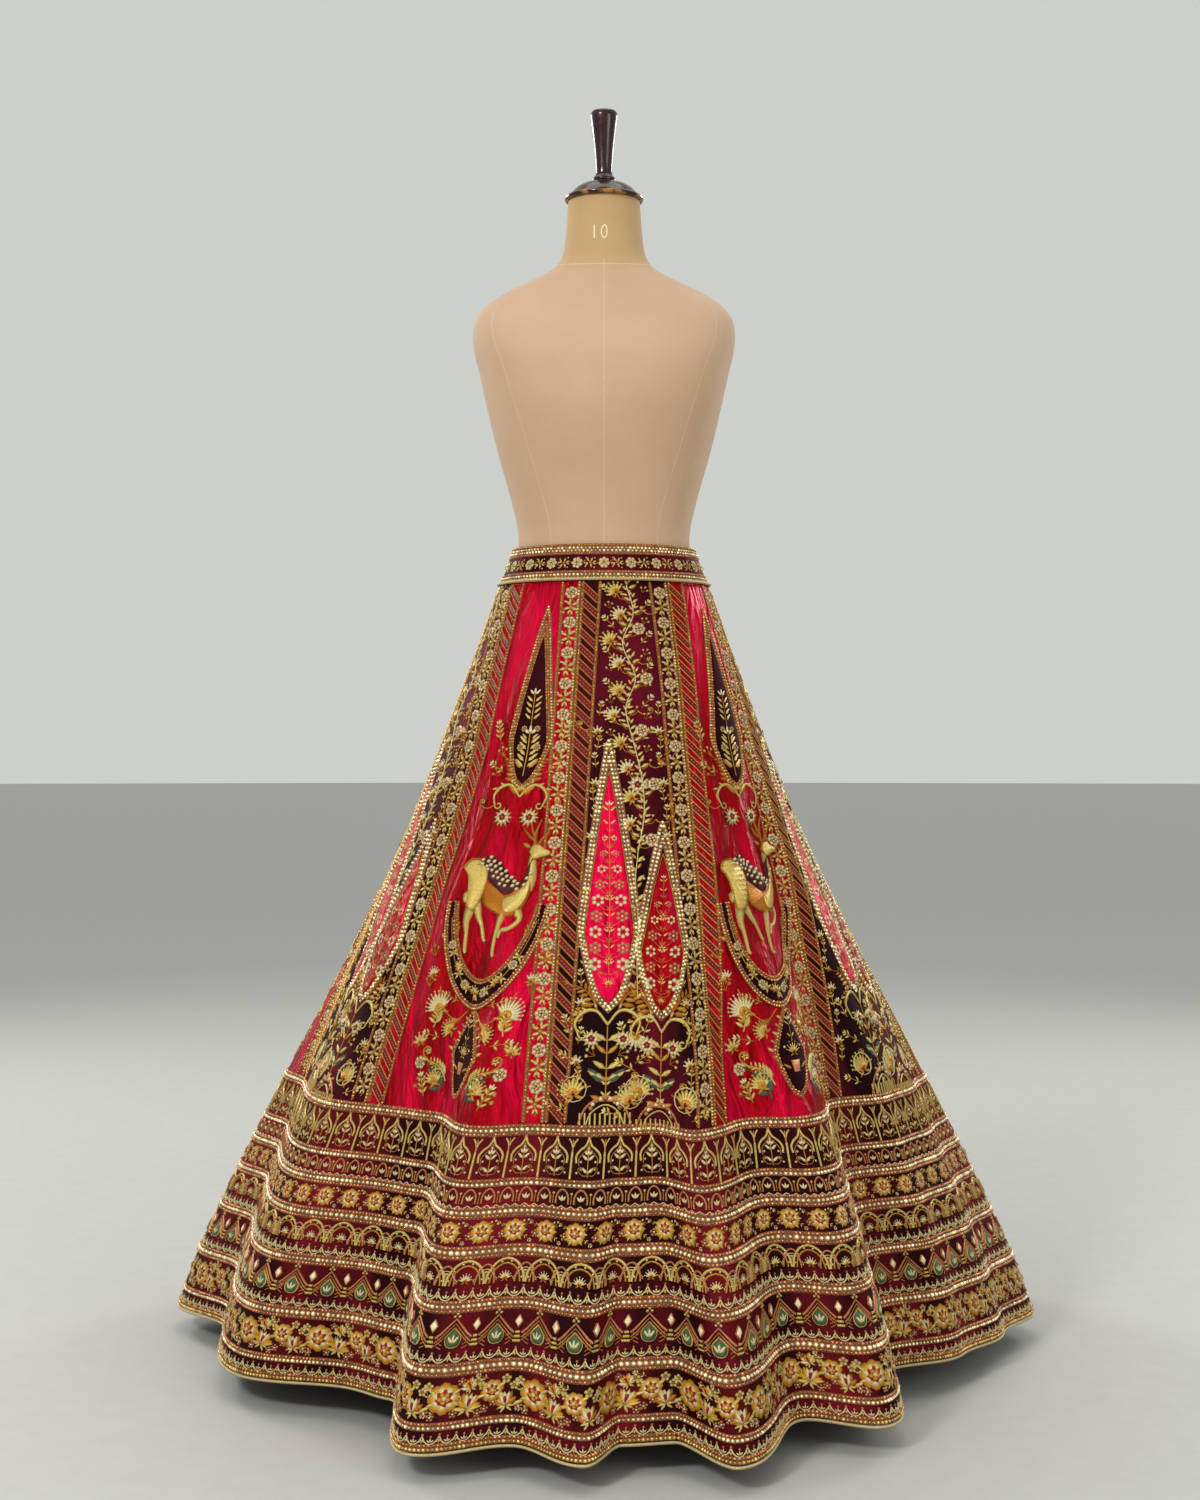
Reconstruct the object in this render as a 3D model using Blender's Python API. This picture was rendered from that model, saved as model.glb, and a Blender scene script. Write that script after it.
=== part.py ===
"""A lehenga skirt on a dress form.

Ten kalis of dark velvet and red satin hang from a waistband and end in a deep hem
border, cut in a section under each kali. The waistband sits on the waist of a limbless
dress form, which stands on a pole and a round base.

Metres, +Z up, the origin on the floor under the pole, the front towards -Y.
Angles are degrees about the pole, 0 at the centre front and growing towards +X.
"Fall" is how far down the skirt a point is: 0 at the waistband, 1 at the hem.
"""

import math
from collections import namedtuple

import bmesh
import bpy
from mathutils import Vector

# Driving sizes
BAND_TOP = 1.080
BAND_BOTTOM = 1.030
HEM_HEIGHT = 0.038
BORDER_TOP = 0.366
SEAM_GAP = 0.0003
KALI_WALL = 0.0020
BORDER_WALL = 0.0024
BAND_WALL = 0.0025
APPLIQUE_WALL = 0.0012
APPLIQUE_LIFT = 0.0005
PIPING_RADIUS = 0.0020
NECK_TOP = 1.5575
FORM_BOTTOM = 0.800
BASE_RADIUS = 0.170
BASE_HEIGHT = 0.016
POLE_RADIUS = 0.0125

KALI_ROWS = 7
BORDER_ROWS = 3
BAND_COLUMNS = 40
FORM_COLUMNS = 36
TURNED_COLUMNS = 32
STEP_DEGREES = 4.0

BORDER_FALL = (BAND_BOTTOM - BORDER_TOP) / (BAND_BOTTOM - HEM_HEIGHT)

# The skirt without its folds: half width and depth over width at each fall
Flare = namedtuple("Flare", "fall half_width depth_ratio")
FLARES = (
    Flare(0.00, 0.142, 0.80),
    Flare(0.08, 0.170, 0.86),
    Flare(0.20, 0.215, 0.92),
    Flare(0.33, 0.265, 0.96),
    Flare(0.48, 0.333, 0.99),
    Flare(0.66, 0.420, 1.00),
    Flare(0.80, 0.484, 1.00),
    Flare(0.92, 0.535, 1.00),
    Flare(1.00, 0.560, 1.00),
)

# The hem seen from above: the ridge or valley of each fold, how far out it reaches,
# and the fall at which the fold begins
Fold = namedtuple("Fold", "angle reach start")
FOLDS = (
    Fold(-98, 0.600, 0.30),
    Fold(-80, 0.512, 0.35),
    Fold(-58, 0.545, 0.30),
    Fold(-38, 0.484, 0.40),
    Fold(-31, 0.490, 0.40),
    Fold(-20, 0.628, 0.35),
    Fold(-10, 0.580, 0.55),
    Fold(-2, 0.630, 0.60),
    Fold(2, 0.572, 0.55),
    Fold(8, 0.568, 0.50),
    Fold(13, 0.648, 0.30),
    Fold(25, 0.538, 0.45),
    Fold(33, 0.594, 0.50),
    Fold(49, 0.464, 0.25),
    Fold(64, 0.506, 0.45),
    Fold(78, 0.538, 0.50),
    Fold(93, 0.592, 0.30),
    Fold(106, 0.516, 0.40),
    Fold(121, 0.612, 0.35),
    Fold(137, 0.505, 0.30),
    Fold(151, 0.590, 0.45),
    Fold(164, 0.545, 0.50),
    Fold(178, 0.634, 0.30),
    Fold(193, 0.522, 0.35),
    Fold(208, 0.618, 0.40),
    Fold(224, 0.508, 0.30),
    Fold(240, 0.600, 0.35),
    Fold(251, 0.540, 0.50),
)
FOLD_GROWTH = 1.25
HEM_DROOP = 0.08

# Each kali, left to right as seen from outside: its cloth, the angle of its left seam
# at four levels, and how far its patches lie to the right of its middle
Kali = namedtuple("Kali", "cloth waist thigh border hem shift")
KALIS = (
    Kali("velvet", -12.0, -11.0, -9.5, -11.0, 0.0),
    Kali("satin", 35.5, 27.5, 16.5, 14.0, 0.008),
    Kali("velvet", 80.0, 62.0, 48.0, 47.0, 0.0),
    Kali("satin", 111.5, 98.0, 86.0, 86.0, 0.0),
    Kali("velvet", 143.0, 133.0, 124.0, 124.0, 0.0),
    Kali("satin", 174.5, 168.0, 162.0, 162.0, 0.0),
    Kali("velvet", 206.0, 203.0, 200.0, 200.0, 0.0),
    Kali("satin", 237.5, 238.5, 238.0, 238.0, 0.0),
    Kali("velvet", 268.5, 274.0, 276.0, 276.0, 0.0),
    Kali("satin", 300.0, 310.5, 313.0, 312.0, 0.018),
)
THIGH_FALL = 0.22

# The dress form: half width, and depth to the front and back, at each height.
# Squareness 2 is an ellipse.
Section = namedtuple("Section", "height half_width front back squareness")
FORM_SECTIONS = (
    Section(FORM_BOTTOM, 0.158, 0.100, 0.112, 2.2),
    Section(0.830, 0.165, 0.107, 0.120, 2.2),
    Section(0.880, 0.167, 0.111, 0.127, 2.2),
    Section(0.940, 0.158, 0.108, 0.121, 2.15),
    Section(1.000, 0.142, 0.104, 0.108, 2.05),
    Section(1.030, 0.1335, 0.1030, 0.1030, 2.0),
    Section(1.055, 0.1240, 0.0980, 0.0980, 2.0),
    Section(1.080, 0.1175, 0.0930, 0.0930, 2.0),
    Section(1.110, 0.1180, 0.0930, 0.0920, 2.0),
    Section(1.160, 0.130, 0.102, 0.096, 2.1),
    Section(1.220, 0.147, 0.119, 0.102, 2.2),
    Section(1.275, 0.160, 0.130, 0.108, 2.3),
    Section(1.320, 0.170, 0.124, 0.112, 2.4),
    Section(1.355, 0.178, 0.108, 0.112, 2.5),
    Section(1.385, 0.178, 0.090, 0.104, 2.5),
    Section(1.408, 0.166, 0.074, 0.092, 2.4),
    Section(1.428, 0.140, 0.062, 0.078, 2.2),
    Section(1.446, 0.104, 0.054, 0.066, 2.1),
    Section(1.462, 0.073, 0.050, 0.057, 2.0),
    Section(1.480, 0.058, 0.048, 0.051, 2.0),
    Section(1.510, 0.0525, 0.0470, 0.0480, 2.0),
    Section(NECK_TOP, 0.0490, 0.0470, 0.0470, 2.0),
)

# Turned pieces: radius at each height above the piece's own foot
Turned = namedtuple("Turned", "radius height")
CAP_PROFILE = (
    Turned(0.0527, 0.0000),
    Turned(0.0540, 0.0020),
    Turned(0.0535, 0.0050),
    Turned(0.0480, 0.0075),
    Turned(0.0440, 0.0120),
    Turned(0.0370, 0.0185),
    Turned(0.0260, 0.0240),
    Turned(0.0170, 0.0265),
    Turned(0.0150, 0.0275),
)
FINIAL_PROFILE = (
    Turned(0.0160, 0.0000),
    Turned(0.0162, 0.0030),
    Turned(0.0130, 0.0065),
    Turned(0.0112, 0.0110),
    Turned(0.0118, 0.0250),
    Turned(0.0135, 0.0450),
    Turned(0.0160, 0.0670),
    Turned(0.0185, 0.0850),
    Turned(0.0186, 0.0910),
    Turned(0.0160, 0.0955),
    Turned(0.0080, 0.0970),
)
BASE_PROFILE = (
    Turned(BASE_RADIUS, 0.0),
    Turned(BASE_RADIUS, 0.006),
    Turned(BASE_RADIUS - 0.006, 0.010),
    Turned(BASE_RADIUS - 0.060, 0.013),
    Turned(0.030, BASE_HEIGHT),
)

# Patches: where each lies on its kali. Centre is metres to the right of the kali's
# middle line, top and bottom are heights, half_width is at the widest.
Patch = namedtuple("Patch", "name cloth centre top bottom half_width widest")
VELVET_DROP = Patch("velvet_drop", "velvet", 0.0, 0.955, 0.763, 0.0235, 0.72)
VELVET_LOZENGE = Patch("velvet_lozenge", "velvet", 0.004, 0.482, 0.392, 0.0240, 0.50)
SATIN_DROP_LEFT = Patch("satin_drop_left", "satin", -0.026, 0.775, 0.500, 0.0300, 0.70)
SATIN_DROP_RIGHT = Patch("satin_drop_right", "satin", 0.042, 0.672, 0.492, 0.0280, 0.64)
CRESCENT_TOP = 0.618
CRESCENT_BOTTOM = 0.494
CRESCENT_HALF_WIDTH = 0.067
CRESCENT_BAND = 0.026
CRESCENT_HORN = 0.006
CRESCENT_STEPS = 8

# Finishes: base colour, roughness, metallic
Finish = namedtuple("Finish", "colour roughness metallic")
FINISHES = {
    "velvet": Finish((0.030, 0.002, 0.006, 1), 0.85, 0.0),
    "satin": Finish((0.480, 0.004, 0.030, 1), 0.40, 0.0),
    "border": Finish((0.110, 0.010, 0.022, 1), 0.80, 0.0),
    "piping": Finish((0.720, 0.560, 0.320, 1), 0.60, 0.0),
    "cover": Finish((0.620, 0.500, 0.330, 1), 0.75, 0.0),
    "mahogany": Finish((0.030, 0.006, 0.004, 1), 0.20, 0.0),
    "steel": Finish((0.450, 0.450, 0.460, 1), 0.35, 1.0),
}


def smooth_between(rows, key, field, value):
    """A table's column at a value of its key column, eased between the rows."""
    for low, high in zip(rows, rows[1:]):
        if value <= getattr(high, key):
            span = getattr(high, key) - getattr(low, key)
            share = max(0.0, (value - getattr(low, key)) / span)
            return getattr(low, field) + share * (getattr(high, field) - getattr(low, field))
    return getattr(rows[-1], field)


def fold_at(angle, field):
    """The fold table's column at an angle, with a level top on each ridge and valley."""
    first = FOLDS[0]
    turned = (angle - first.angle) % 360 + first.angle
    ring = FOLDS + (first._replace(angle=first.angle + 360),)
    for low, high in zip(ring, ring[1:]):
        if turned <= high.angle:
            share = (turned - low.angle) / (high.angle - low.angle)
            eased = (1 - math.cos(math.pi * share)) / 2
            return getattr(low, field) + eased * (getattr(high, field) - getattr(low, field))
    return getattr(first, field)


def fold_depth(angle, fall):
    """How far a fold pushes the cloth out (or in) at this place."""
    start = fold_at(angle, "start")
    grown = max(0.0, (fall - start) / (1 - start)) ** FOLD_GROWTH
    return (fold_at(angle, "reach") - FLARES[-1].half_width) * grown


def skirt_point(angle, fall):
    """The outer face of the skirt."""
    half_width = smooth_between(FLARES, "fall", "half_width", fall)
    ratio = smooth_between(FLARES, "fall", "depth_ratio", fall)
    fold = fold_depth(angle, fall)
    turn = math.radians(angle)
    height = BAND_BOTTOM - fall * (BAND_BOTTOM - HEM_HEIGHT) - HEM_DROOP * fold * fall
    return Vector(
        (
            (half_width + fold) * math.sin(turn),
            -(half_width * ratio + fold) * math.cos(turn),
            height,
        )
    )


def skirt_normal(angle, fall):
    """Straight out of the cloth."""
    step = 0.01
    down = skirt_point(angle, min(1, fall + step)) - skirt_point(angle, max(0, fall - step))
    across = skirt_point(angle + 1, fall) - skirt_point(angle - 1, fall)
    return down.cross(across).normalized()


def seam_angle(number, fall):
    """The angle of a kali's left seam; number 10 is kali 0 again, a turn further on."""
    kali = KALIS[number % len(KALIS)]
    turn = 360 * (number // len(KALIS))
    if fall <= THIGH_FALL:
        share = fall / THIGH_FALL
        return turn + kali.waist + share * (kali.thigh - kali.waist)
    if fall <= BORDER_FALL:
        share = (fall - THIGH_FALL) / (BORDER_FALL - THIGH_FALL)
        return turn + kali.thigh + share * (kali.border - kali.thigh)
    share = (fall - BORDER_FALL) / (1 - BORDER_FALL)
    return turn + kali.border + share * (kali.hem - kali.border)


def gap_angle(fall):
    """Half a seam's gap, as an angle."""
    radius = smooth_between(FLARES, "fall", "half_width", fall)
    return math.degrees(SEAM_GAP / 2 / radius) * 1.4


def across_kali(number, share, fall):
    """The angle at a share of the way across a kali, seam gaps left out."""
    left = seam_angle(number, fall) + gap_angle(fall)
    right = seam_angle(number + 1, fall) - gap_angle(fall)
    return left + share * (right - left)


def columns_of(number):
    """How many faces wide a kali is made."""
    width = seam_angle(number + 1, 1) - seam_angle(number, 1)
    return max(8, round(width / STEP_DEGREES))


def wall_grid(number, falls, offset):
    """Points of a kali or border section, moved out of the cloth by an offset."""
    columns = columns_of(number)
    grid = []
    for fall in falls:
        angles = [across_kali(number, i / columns, fall) for i in range(columns + 1)]
        grid.append([skirt_point(a, fall) + skirt_normal(a, fall) * offset for a in angles])
    return grid


def even_steps(first, last, count):
    """Count + 1 evenly spaced values."""
    return [first + (last - first) * i / count for i in range(count + 1)]


def finish_material(name, finish):
    """A Principled material of a named finish."""
    look = FINISHES[finish]
    material = bpy.data.materials.new(name)
    material.use_nodes = True
    shader = material.node_tree.nodes["Principled BSDF"]
    shader.inputs["Base Color"].default_value = look.colour
    shader.inputs["Roughness"].default_value = look.roughness
    shader.inputs["Metallic"].default_value = look.metallic
    return material


def add_object(name, mesh_builder, finish, smooth=True):
    """A named object from a bmesh, its faces turned out."""
    bmesh.ops.recalc_face_normals(mesh_builder, faces=mesh_builder.faces)
    mesh = bpy.data.meshes.new(name)
    mesh_builder.to_mesh(mesh)
    mesh_builder.free()
    item = bpy.data.objects.new(name, mesh)
    bpy.context.scene.collection.objects.link(item)
    mesh.materials.append(finish_material(name, finish))
    if smooth:
        mesh.shade_smooth()
        mesh.set_sharp_from_angle(angle=math.radians(40))
    return item


def shell(outer, inner):
    """A bmesh wall between two grids of equal shape, closed round its edge.

    Every cell is split along the same diagonal, so walls made from the same points
    stay parallel where the cloth twists.
    """
    builder = bmesh.new()
    front = [[builder.verts.new(p) for p in row] for row in outer]
    back = [[builder.verts.new(p) for p in row] for row in inner]
    rows, columns = len(front), len(front[0])
    for j in range(rows - 1):
        for i in range(columns - 1):
            for side in (front, back):
                low, high = side[j], side[j + 1]
                builder.faces.new((low[i], low[i + 1], high[i + 1]))
                builder.faces.new((low[i], high[i + 1], high[i]))
    rim = [(0, i) for i in range(columns)]
    rim += [(j, columns - 1) for j in range(1, rows)]
    rim += [(rows - 1, i) for i in range(columns - 2, -1, -1)]
    rim += [(j, 0) for j in range(rows - 2, 0, -1)]
    for (j, i), (n, m) in zip(rim, rim[1:] + rim[:1]):
        builder.faces.new((front[j][i], front[n][m], back[n][m], back[j][i]))
    return builder


def cloth_wall(name, number, falls, thickness, finish, lift=0.0):
    """A cloth panel of even thickness, its outer face lifted off the skirt's face."""
    outer = wall_grid(number, falls, lift)
    inner = wall_grid(number, falls, lift - thickness)
    return add_object(name, shell(outer, inner), finish)


def kali_falls():
    """The rows of a kali, from the waistband to its seam with the border."""
    return even_steps(SEAM_GAP, BORDER_FALL - SEAM_GAP / 2, KALI_ROWS)


def add_kalis():
    """The ten gores, velvet and satin in turn."""
    for number, kali in enumerate(KALIS):
        name = f"kali_{number + 1}_{kali.cloth}"
        cloth_wall(name, number, kali_falls(), KALI_WALL, kali.cloth)


def add_hem_border():
    """A section of the hem border under each kali."""
    falls = even_steps(BORDER_FALL + SEAM_GAP / 2, 1, BORDER_ROWS)
    for number in range(len(KALIS)):
        cloth_wall(f"hem_border_{number + 1}", number, falls, BORDER_WALL, "border")


def outline_prism(number, outline):
    """A prism through the skirt's wall, from an outline of (metres across, height)."""
    builder = bmesh.new()
    rings = []
    for reach in (-0.02, 0.02):
        ring = []
        for across, height in outline:
            fall = (BAND_BOTTOM - height) / (BAND_BOTTOM - HEM_HEIGHT)
            middle = across_kali(number, 0.5, fall)
            radius = smooth_between(FLARES, "fall", "half_width", fall)
            angle = middle + math.degrees((across + KALIS[number].shift) / radius)
            place = skirt_point(angle, fall)
            out = Vector((place.x, place.y, 0)).normalized()
            ring.append(builder.verts.new(place + out * reach))
        rings.append(ring)
    count = len(outline)
    for i in range(count):
        n = (i + 1) % count
        builder.faces.new((rings[0][i], rings[0][n], rings[1][n], rings[1][i]))
    for ring in rings:
        builder.faces.new(ring)
    bmesh.ops.triangulate(builder, faces=[f for f in builder.faces if len(f.verts) > 4])
    return builder


def drop_outline(patch):
    """A long drop: point up, widest low down, and a short point below."""
    half = []
    upper = even_steps(0, patch.widest, 4)
    for share in upper:
        half.append((patch.half_width * (share / patch.widest) ** 0.85, share))
    half.append((patch.half_width * 0.72, patch.widest + 0.55 * (1 - patch.widest)))
    half.append((0.0, 1.0))
    height = patch.top - patch.bottom
    right = [(patch.centre + w, patch.top - s * height) for w, s in half]
    left = [(patch.centre - w, patch.top - s * height) for w, s in reversed(half[1:-1])]
    return right + left


def lozenge_outline(patch):
    """Four points, the side ones halfway down."""
    middle = patch.top - patch.widest * (patch.top - patch.bottom)
    return [
        (patch.centre, patch.top),
        (patch.centre + patch.half_width, middle),
        (patch.centre, patch.bottom),
        (patch.centre - patch.half_width, middle),
    ]


def crescent_outline():
    """A hanging moon: two half ellipses, far apart below and close at the horns."""
    depth = CRESCENT_TOP - CRESCENT_BOTTOM
    outline = []
    for turn in even_steps(0, math.pi, CRESCENT_STEPS):
        across = CRESCENT_HALF_WIDTH * math.cos(turn)
        outline.append((across, CRESCENT_TOP - depth * math.sin(turn)))
    for turn in even_steps(math.pi, 0, CRESCENT_STEPS):
        across = (CRESCENT_HALF_WIDTH - CRESCENT_HORN) * math.cos(turn)
        outline.append((across, CRESCENT_TOP - (depth - CRESCENT_BAND) * math.sin(turn)))
    return outline


def add_applique(name, number, outline, finish):
    """A patch cut from a copy of its kali, moved out so that it lies on the cloth."""
    lift = APPLIQUE_LIFT + APPLIQUE_WALL
    patch = cloth_wall(name, number, kali_falls(), APPLIQUE_WALL, finish, lift)
    cutter = add_object(f"{name}_outline", outline_prism(number, outline), finish, False)
    cutter.hide_render = True
    cutter.display_type = "WIRE"
    cut = patch.modifiers.new("outline", "BOOLEAN")
    cut.operation = "INTERSECT"
    cut.object = cutter


def add_appliques():
    """Drop, crescent and lozenge on the satin kalis, two drops on the velvet ones."""
    for number, kali in enumerate(KALIS):
        place = number + 1
        if kali.cloth == "satin":
            add_applique(f"velvet_drop_{place}", number, drop_outline(VELVET_DROP), "velvet")
            add_applique(f"velvet_crescent_{place}", number, crescent_outline(), "velvet")
            lozenge = lozenge_outline(VELVET_LOZENGE)
            add_applique(f"velvet_lozenge_{place}", number, lozenge, "velvet")
        else:
            for patch in (SATIN_DROP_LEFT, SATIN_DROP_RIGHT):
                add_applique(f"{patch.name}_{place}", number, drop_outline(patch), "satin")


def ring_solid(name, rings, finish):
    """A closed band: each ring is a loop of points, and the last joins the first."""
    builder = bmesh.new()
    loops = [[builder.verts.new(p) for p in ring] for ring in rings]
    for low, high in zip(loops, loops[1:] + loops[:1]):
        for i in range(len(low)):
            n = (i + 1) % len(low)
            builder.faces.new((low[i], low[n], high[n], high[i]))
    return add_object(name, builder, finish)


def band_point(angle, height, inset):
    """A point on the waistband, which leans in towards the waist."""
    share = (height - BAND_BOTTOM) / (BAND_TOP - BAND_BOTTOM)
    half_width = FLARES[0].half_width + share * (0.1235 - FLARES[0].half_width) - inset
    half_depth = FLARES[0].half_width * FLARES[0].depth_ratio
    half_depth += share * (0.0985 - half_depth) - inset
    turn = math.radians(angle)
    return Vector((half_width * math.sin(turn), -half_depth * math.cos(turn), height))


def add_waistband():
    """One strip all round the waist."""
    angles = [360 * i / BAND_COLUMNS for i in range(BAND_COLUMNS)]
    path = (
        (BAND_BOTTOM + SEAM_GAP, 0),
        (BAND_TOP, 0),
        (BAND_TOP, BAND_WALL),
        (BAND_BOTTOM + SEAM_GAP, BAND_WALL),
    )
    rings = [[band_point(a, height, inset) for a in angles] for height, inset in path]
    ring_solid("waistband", rings, "border")


def piping(name, route, finish="piping", sides=4):
    """A cord along a closed route of (centre, outward) pairs."""
    rings = []
    for k in range(sides):
        turn = 2 * math.pi * k / sides
        up = Vector((0, 0, PIPING_RADIUS * math.sin(turn)))
        rings.append([c + out * (PIPING_RADIUS * math.cos(turn)) + up for c, out in route])
    return ring_solid(name, rings, finish)


def add_pipings():
    """The cords along the waistband's lower seam and the hem."""
    route = []
    for i in range(BAND_COLUMNS):
        place = band_point(360 * i / BAND_COLUMNS, BAND_BOTTOM + PIPING_RADIUS, 0)
        out = Vector((place.x, place.y, 0)).normalized()
        route.append((place + out * (PIPING_RADIUS + 0.0008), out))
    piping("waistband_piping", route)
    route = []
    for number in range(len(KALIS)):
        columns = columns_of(number)
        for i in range(columns):
            place = skirt_point(across_kali(number, i / columns, 1), 1)
            out = Vector((place.x, place.y, 0)).normalized()
            drop = Vector((0, 0, PIPING_RADIUS + 2 * SEAM_GAP + 0.0008))
            route.append((place - out * BORDER_WALL / 2 - drop, out))
    piping("hem_piping", route)


def form_ring(section):
    """A level ring of the dress form."""
    points = []
    for i in range(FORM_COLUMNS):
        turn = 2 * math.pi * i / FORM_COLUMNS
        side, front = math.sin(turn), math.cos(turn)
        power = 2 / section.squareness
        depth = section.front if front > 0 else section.back
        x = section.half_width * math.copysign(abs(side) ** power, side)
        y = -depth * math.copysign(abs(front) ** power, front)
        points.append(Vector((x, y, section.height)))
    return points


def lofted(name, rings, finish):
    """A closed solid through level rings, with a flat cap at each end."""
    builder = bmesh.new()
    loops = [[builder.verts.new(p) for p in ring] for ring in rings]
    for low, high in zip(loops, loops[1:]):
        for i in range(len(low)):
            n = (i + 1) % len(low)
            builder.faces.new((low[i], low[n], high[n], high[i]))
    builder.faces.new(loops[0])
    builder.faces.new(loops[-1])
    return add_object(name, builder, finish)


def turned(name, profile, foot, finish):
    """A turned piece standing on its foot height."""
    rings = []
    for row in profile:
        ring = []
        for i in range(TURNED_COLUMNS):
            turn = 2 * math.pi * i / TURNED_COLUMNS
            x, y = row.radius * math.sin(turn), -row.radius * math.cos(turn)
            ring.append(Vector((x, y, foot + row.height)))
        rings.append(ring)
    return lofted(name, rings, finish)


def add_form():
    """Torso, cap, finial, pole and base."""
    lofted("form_torso", [form_ring(section) for section in FORM_SECTIONS], "cover")
    cap_foot = NECK_TOP + SEAM_GAP
    turned("form_neck_cap", CAP_PROFILE, cap_foot, "mahogany")
    finial_foot = cap_foot + CAP_PROFILE[-1].height + SEAM_GAP
    turned("form_finial", FINIAL_PROFILE, finial_foot, "mahogany")
    turned("form_base", BASE_PROFILE, 0.0, "steel")
    pole_foot = BASE_HEIGHT + SEAM_GAP
    pole_length = FORM_BOTTOM - SEAM_GAP - pole_foot
    pole_profile = (Turned(POLE_RADIUS, 0.0), Turned(POLE_RADIUS, pole_length))
    turned("form_pole", pole_profile, pole_foot, "steel")


def main():
    """Clear the scene and build the part."""
    for item in list(bpy.data.objects):
        bpy.data.objects.remove(item, do_unlink=True)
    add_form()
    add_waistband()
    add_kalis()
    add_hem_border()
    add_appliques()
    add_pipings()


main()
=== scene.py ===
"""A panelled, embroidered lehenga skirt on the limbless dress form that it stands on."""

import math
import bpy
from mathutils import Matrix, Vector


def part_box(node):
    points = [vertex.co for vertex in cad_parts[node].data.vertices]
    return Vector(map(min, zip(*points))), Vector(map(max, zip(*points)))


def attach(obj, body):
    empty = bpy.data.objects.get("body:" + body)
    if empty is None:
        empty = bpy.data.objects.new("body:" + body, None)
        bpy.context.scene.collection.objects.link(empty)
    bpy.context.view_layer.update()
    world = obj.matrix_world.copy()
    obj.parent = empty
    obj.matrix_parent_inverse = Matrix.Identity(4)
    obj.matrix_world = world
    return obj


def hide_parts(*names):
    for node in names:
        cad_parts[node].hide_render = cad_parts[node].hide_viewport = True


bl_info = {
    "name": "Lehenga Skirt on Dress Form",
    "version": (1, 0, 0),
    "blender": (4, 5, 0),
    "location": "3D View > Sidebar > Lehenga",
    "description": "Builds an embroidered lehenga skirt and the dress form under it",
    "category": "Object",
}

from collections import namedtuple

import bpy
import numpy as np
from bpy.props import FloatProperty, FloatVectorProperty, IntProperty, PointerProperty
from bpy.types import Operator, Panel, PropertyGroup

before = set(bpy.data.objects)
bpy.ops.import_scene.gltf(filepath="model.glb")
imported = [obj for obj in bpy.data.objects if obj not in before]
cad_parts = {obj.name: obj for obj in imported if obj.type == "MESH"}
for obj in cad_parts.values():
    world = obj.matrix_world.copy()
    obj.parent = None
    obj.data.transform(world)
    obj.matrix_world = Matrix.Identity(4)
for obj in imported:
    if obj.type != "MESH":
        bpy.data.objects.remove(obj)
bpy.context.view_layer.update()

# ---------------- the skirt's shape
# Angles are degrees about the pole, 0 at the centre front and growing towards +X.
# "Fall" runs from 0 at the waistband to 1 at the hem, "drop" is the same in metres.

BAND_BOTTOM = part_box("waistband")[0][2]
BAND_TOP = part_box("waistband")[1][2]
BAND_HEIGHT = BAND_TOP - BAND_BOTTOM
HEM_HEIGHT = 0.038
HEIGHT = BAND_BOTTOM - HEM_HEIGHT
BORDER_TOP = 0.366
THIGH_FALL = 0.22
BORDER_FALL = (BAND_BOTTOM - BORDER_TOP) / HEIGHT
SLANT = 1.077
BORDER_DROP = BORDER_FALL * SLANT
CLOTH_WALL = 0.0016
FOLD_GROWTH = 1.25
HEM_DROOP = 0.08
CLEAR = 0.0004

# The cloth without its folds, as (fall, half width, depth as a share of width)
FLARES = np.array([
    (0.00, 0.142, 0.80), (0.08, 0.170, 0.86), (0.20, 0.215, 0.92),
    (0.33, 0.265, 0.96), (0.48, 0.333, 0.99), (0.66, 0.420, 1.00),
    (0.80, 0.484, 1.00), (0.92, 0.535, 1.00), (1.00, 0.560, 1.00),
])

# Each fold at the hem, as (where it is, how far out it reaches, where it begins)
FOLDS = np.array([
    (-98, 0.600, 0.30), (-80, 0.512, 0.35), (-58, 0.545, 0.30), (-38, 0.484, 0.40),
    (-31, 0.490, 0.40), (-20, 0.628, 0.35), (-10, 0.580, 0.55), (-2, 0.630, 0.60),
    (2, 0.572, 0.55), (8, 0.568, 0.50), (13, 0.648, 0.30), (25, 0.538, 0.45),
    (33, 0.594, 0.50), (49, 0.464, 0.25), (64, 0.506, 0.45), (78, 0.538, 0.50),
    (93, 0.592, 0.30), (106, 0.516, 0.40), (121, 0.612, 0.35), (137, 0.505, 0.30),
    (151, 0.590, 0.45), (164, 0.545, 0.50), (178, 0.634, 0.30), (193, 0.522, 0.35),
    (208, 0.618, 0.40), (224, 0.508, 0.30), (240, 0.600, 0.35), (251, 0.540, 0.50),
])

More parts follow.
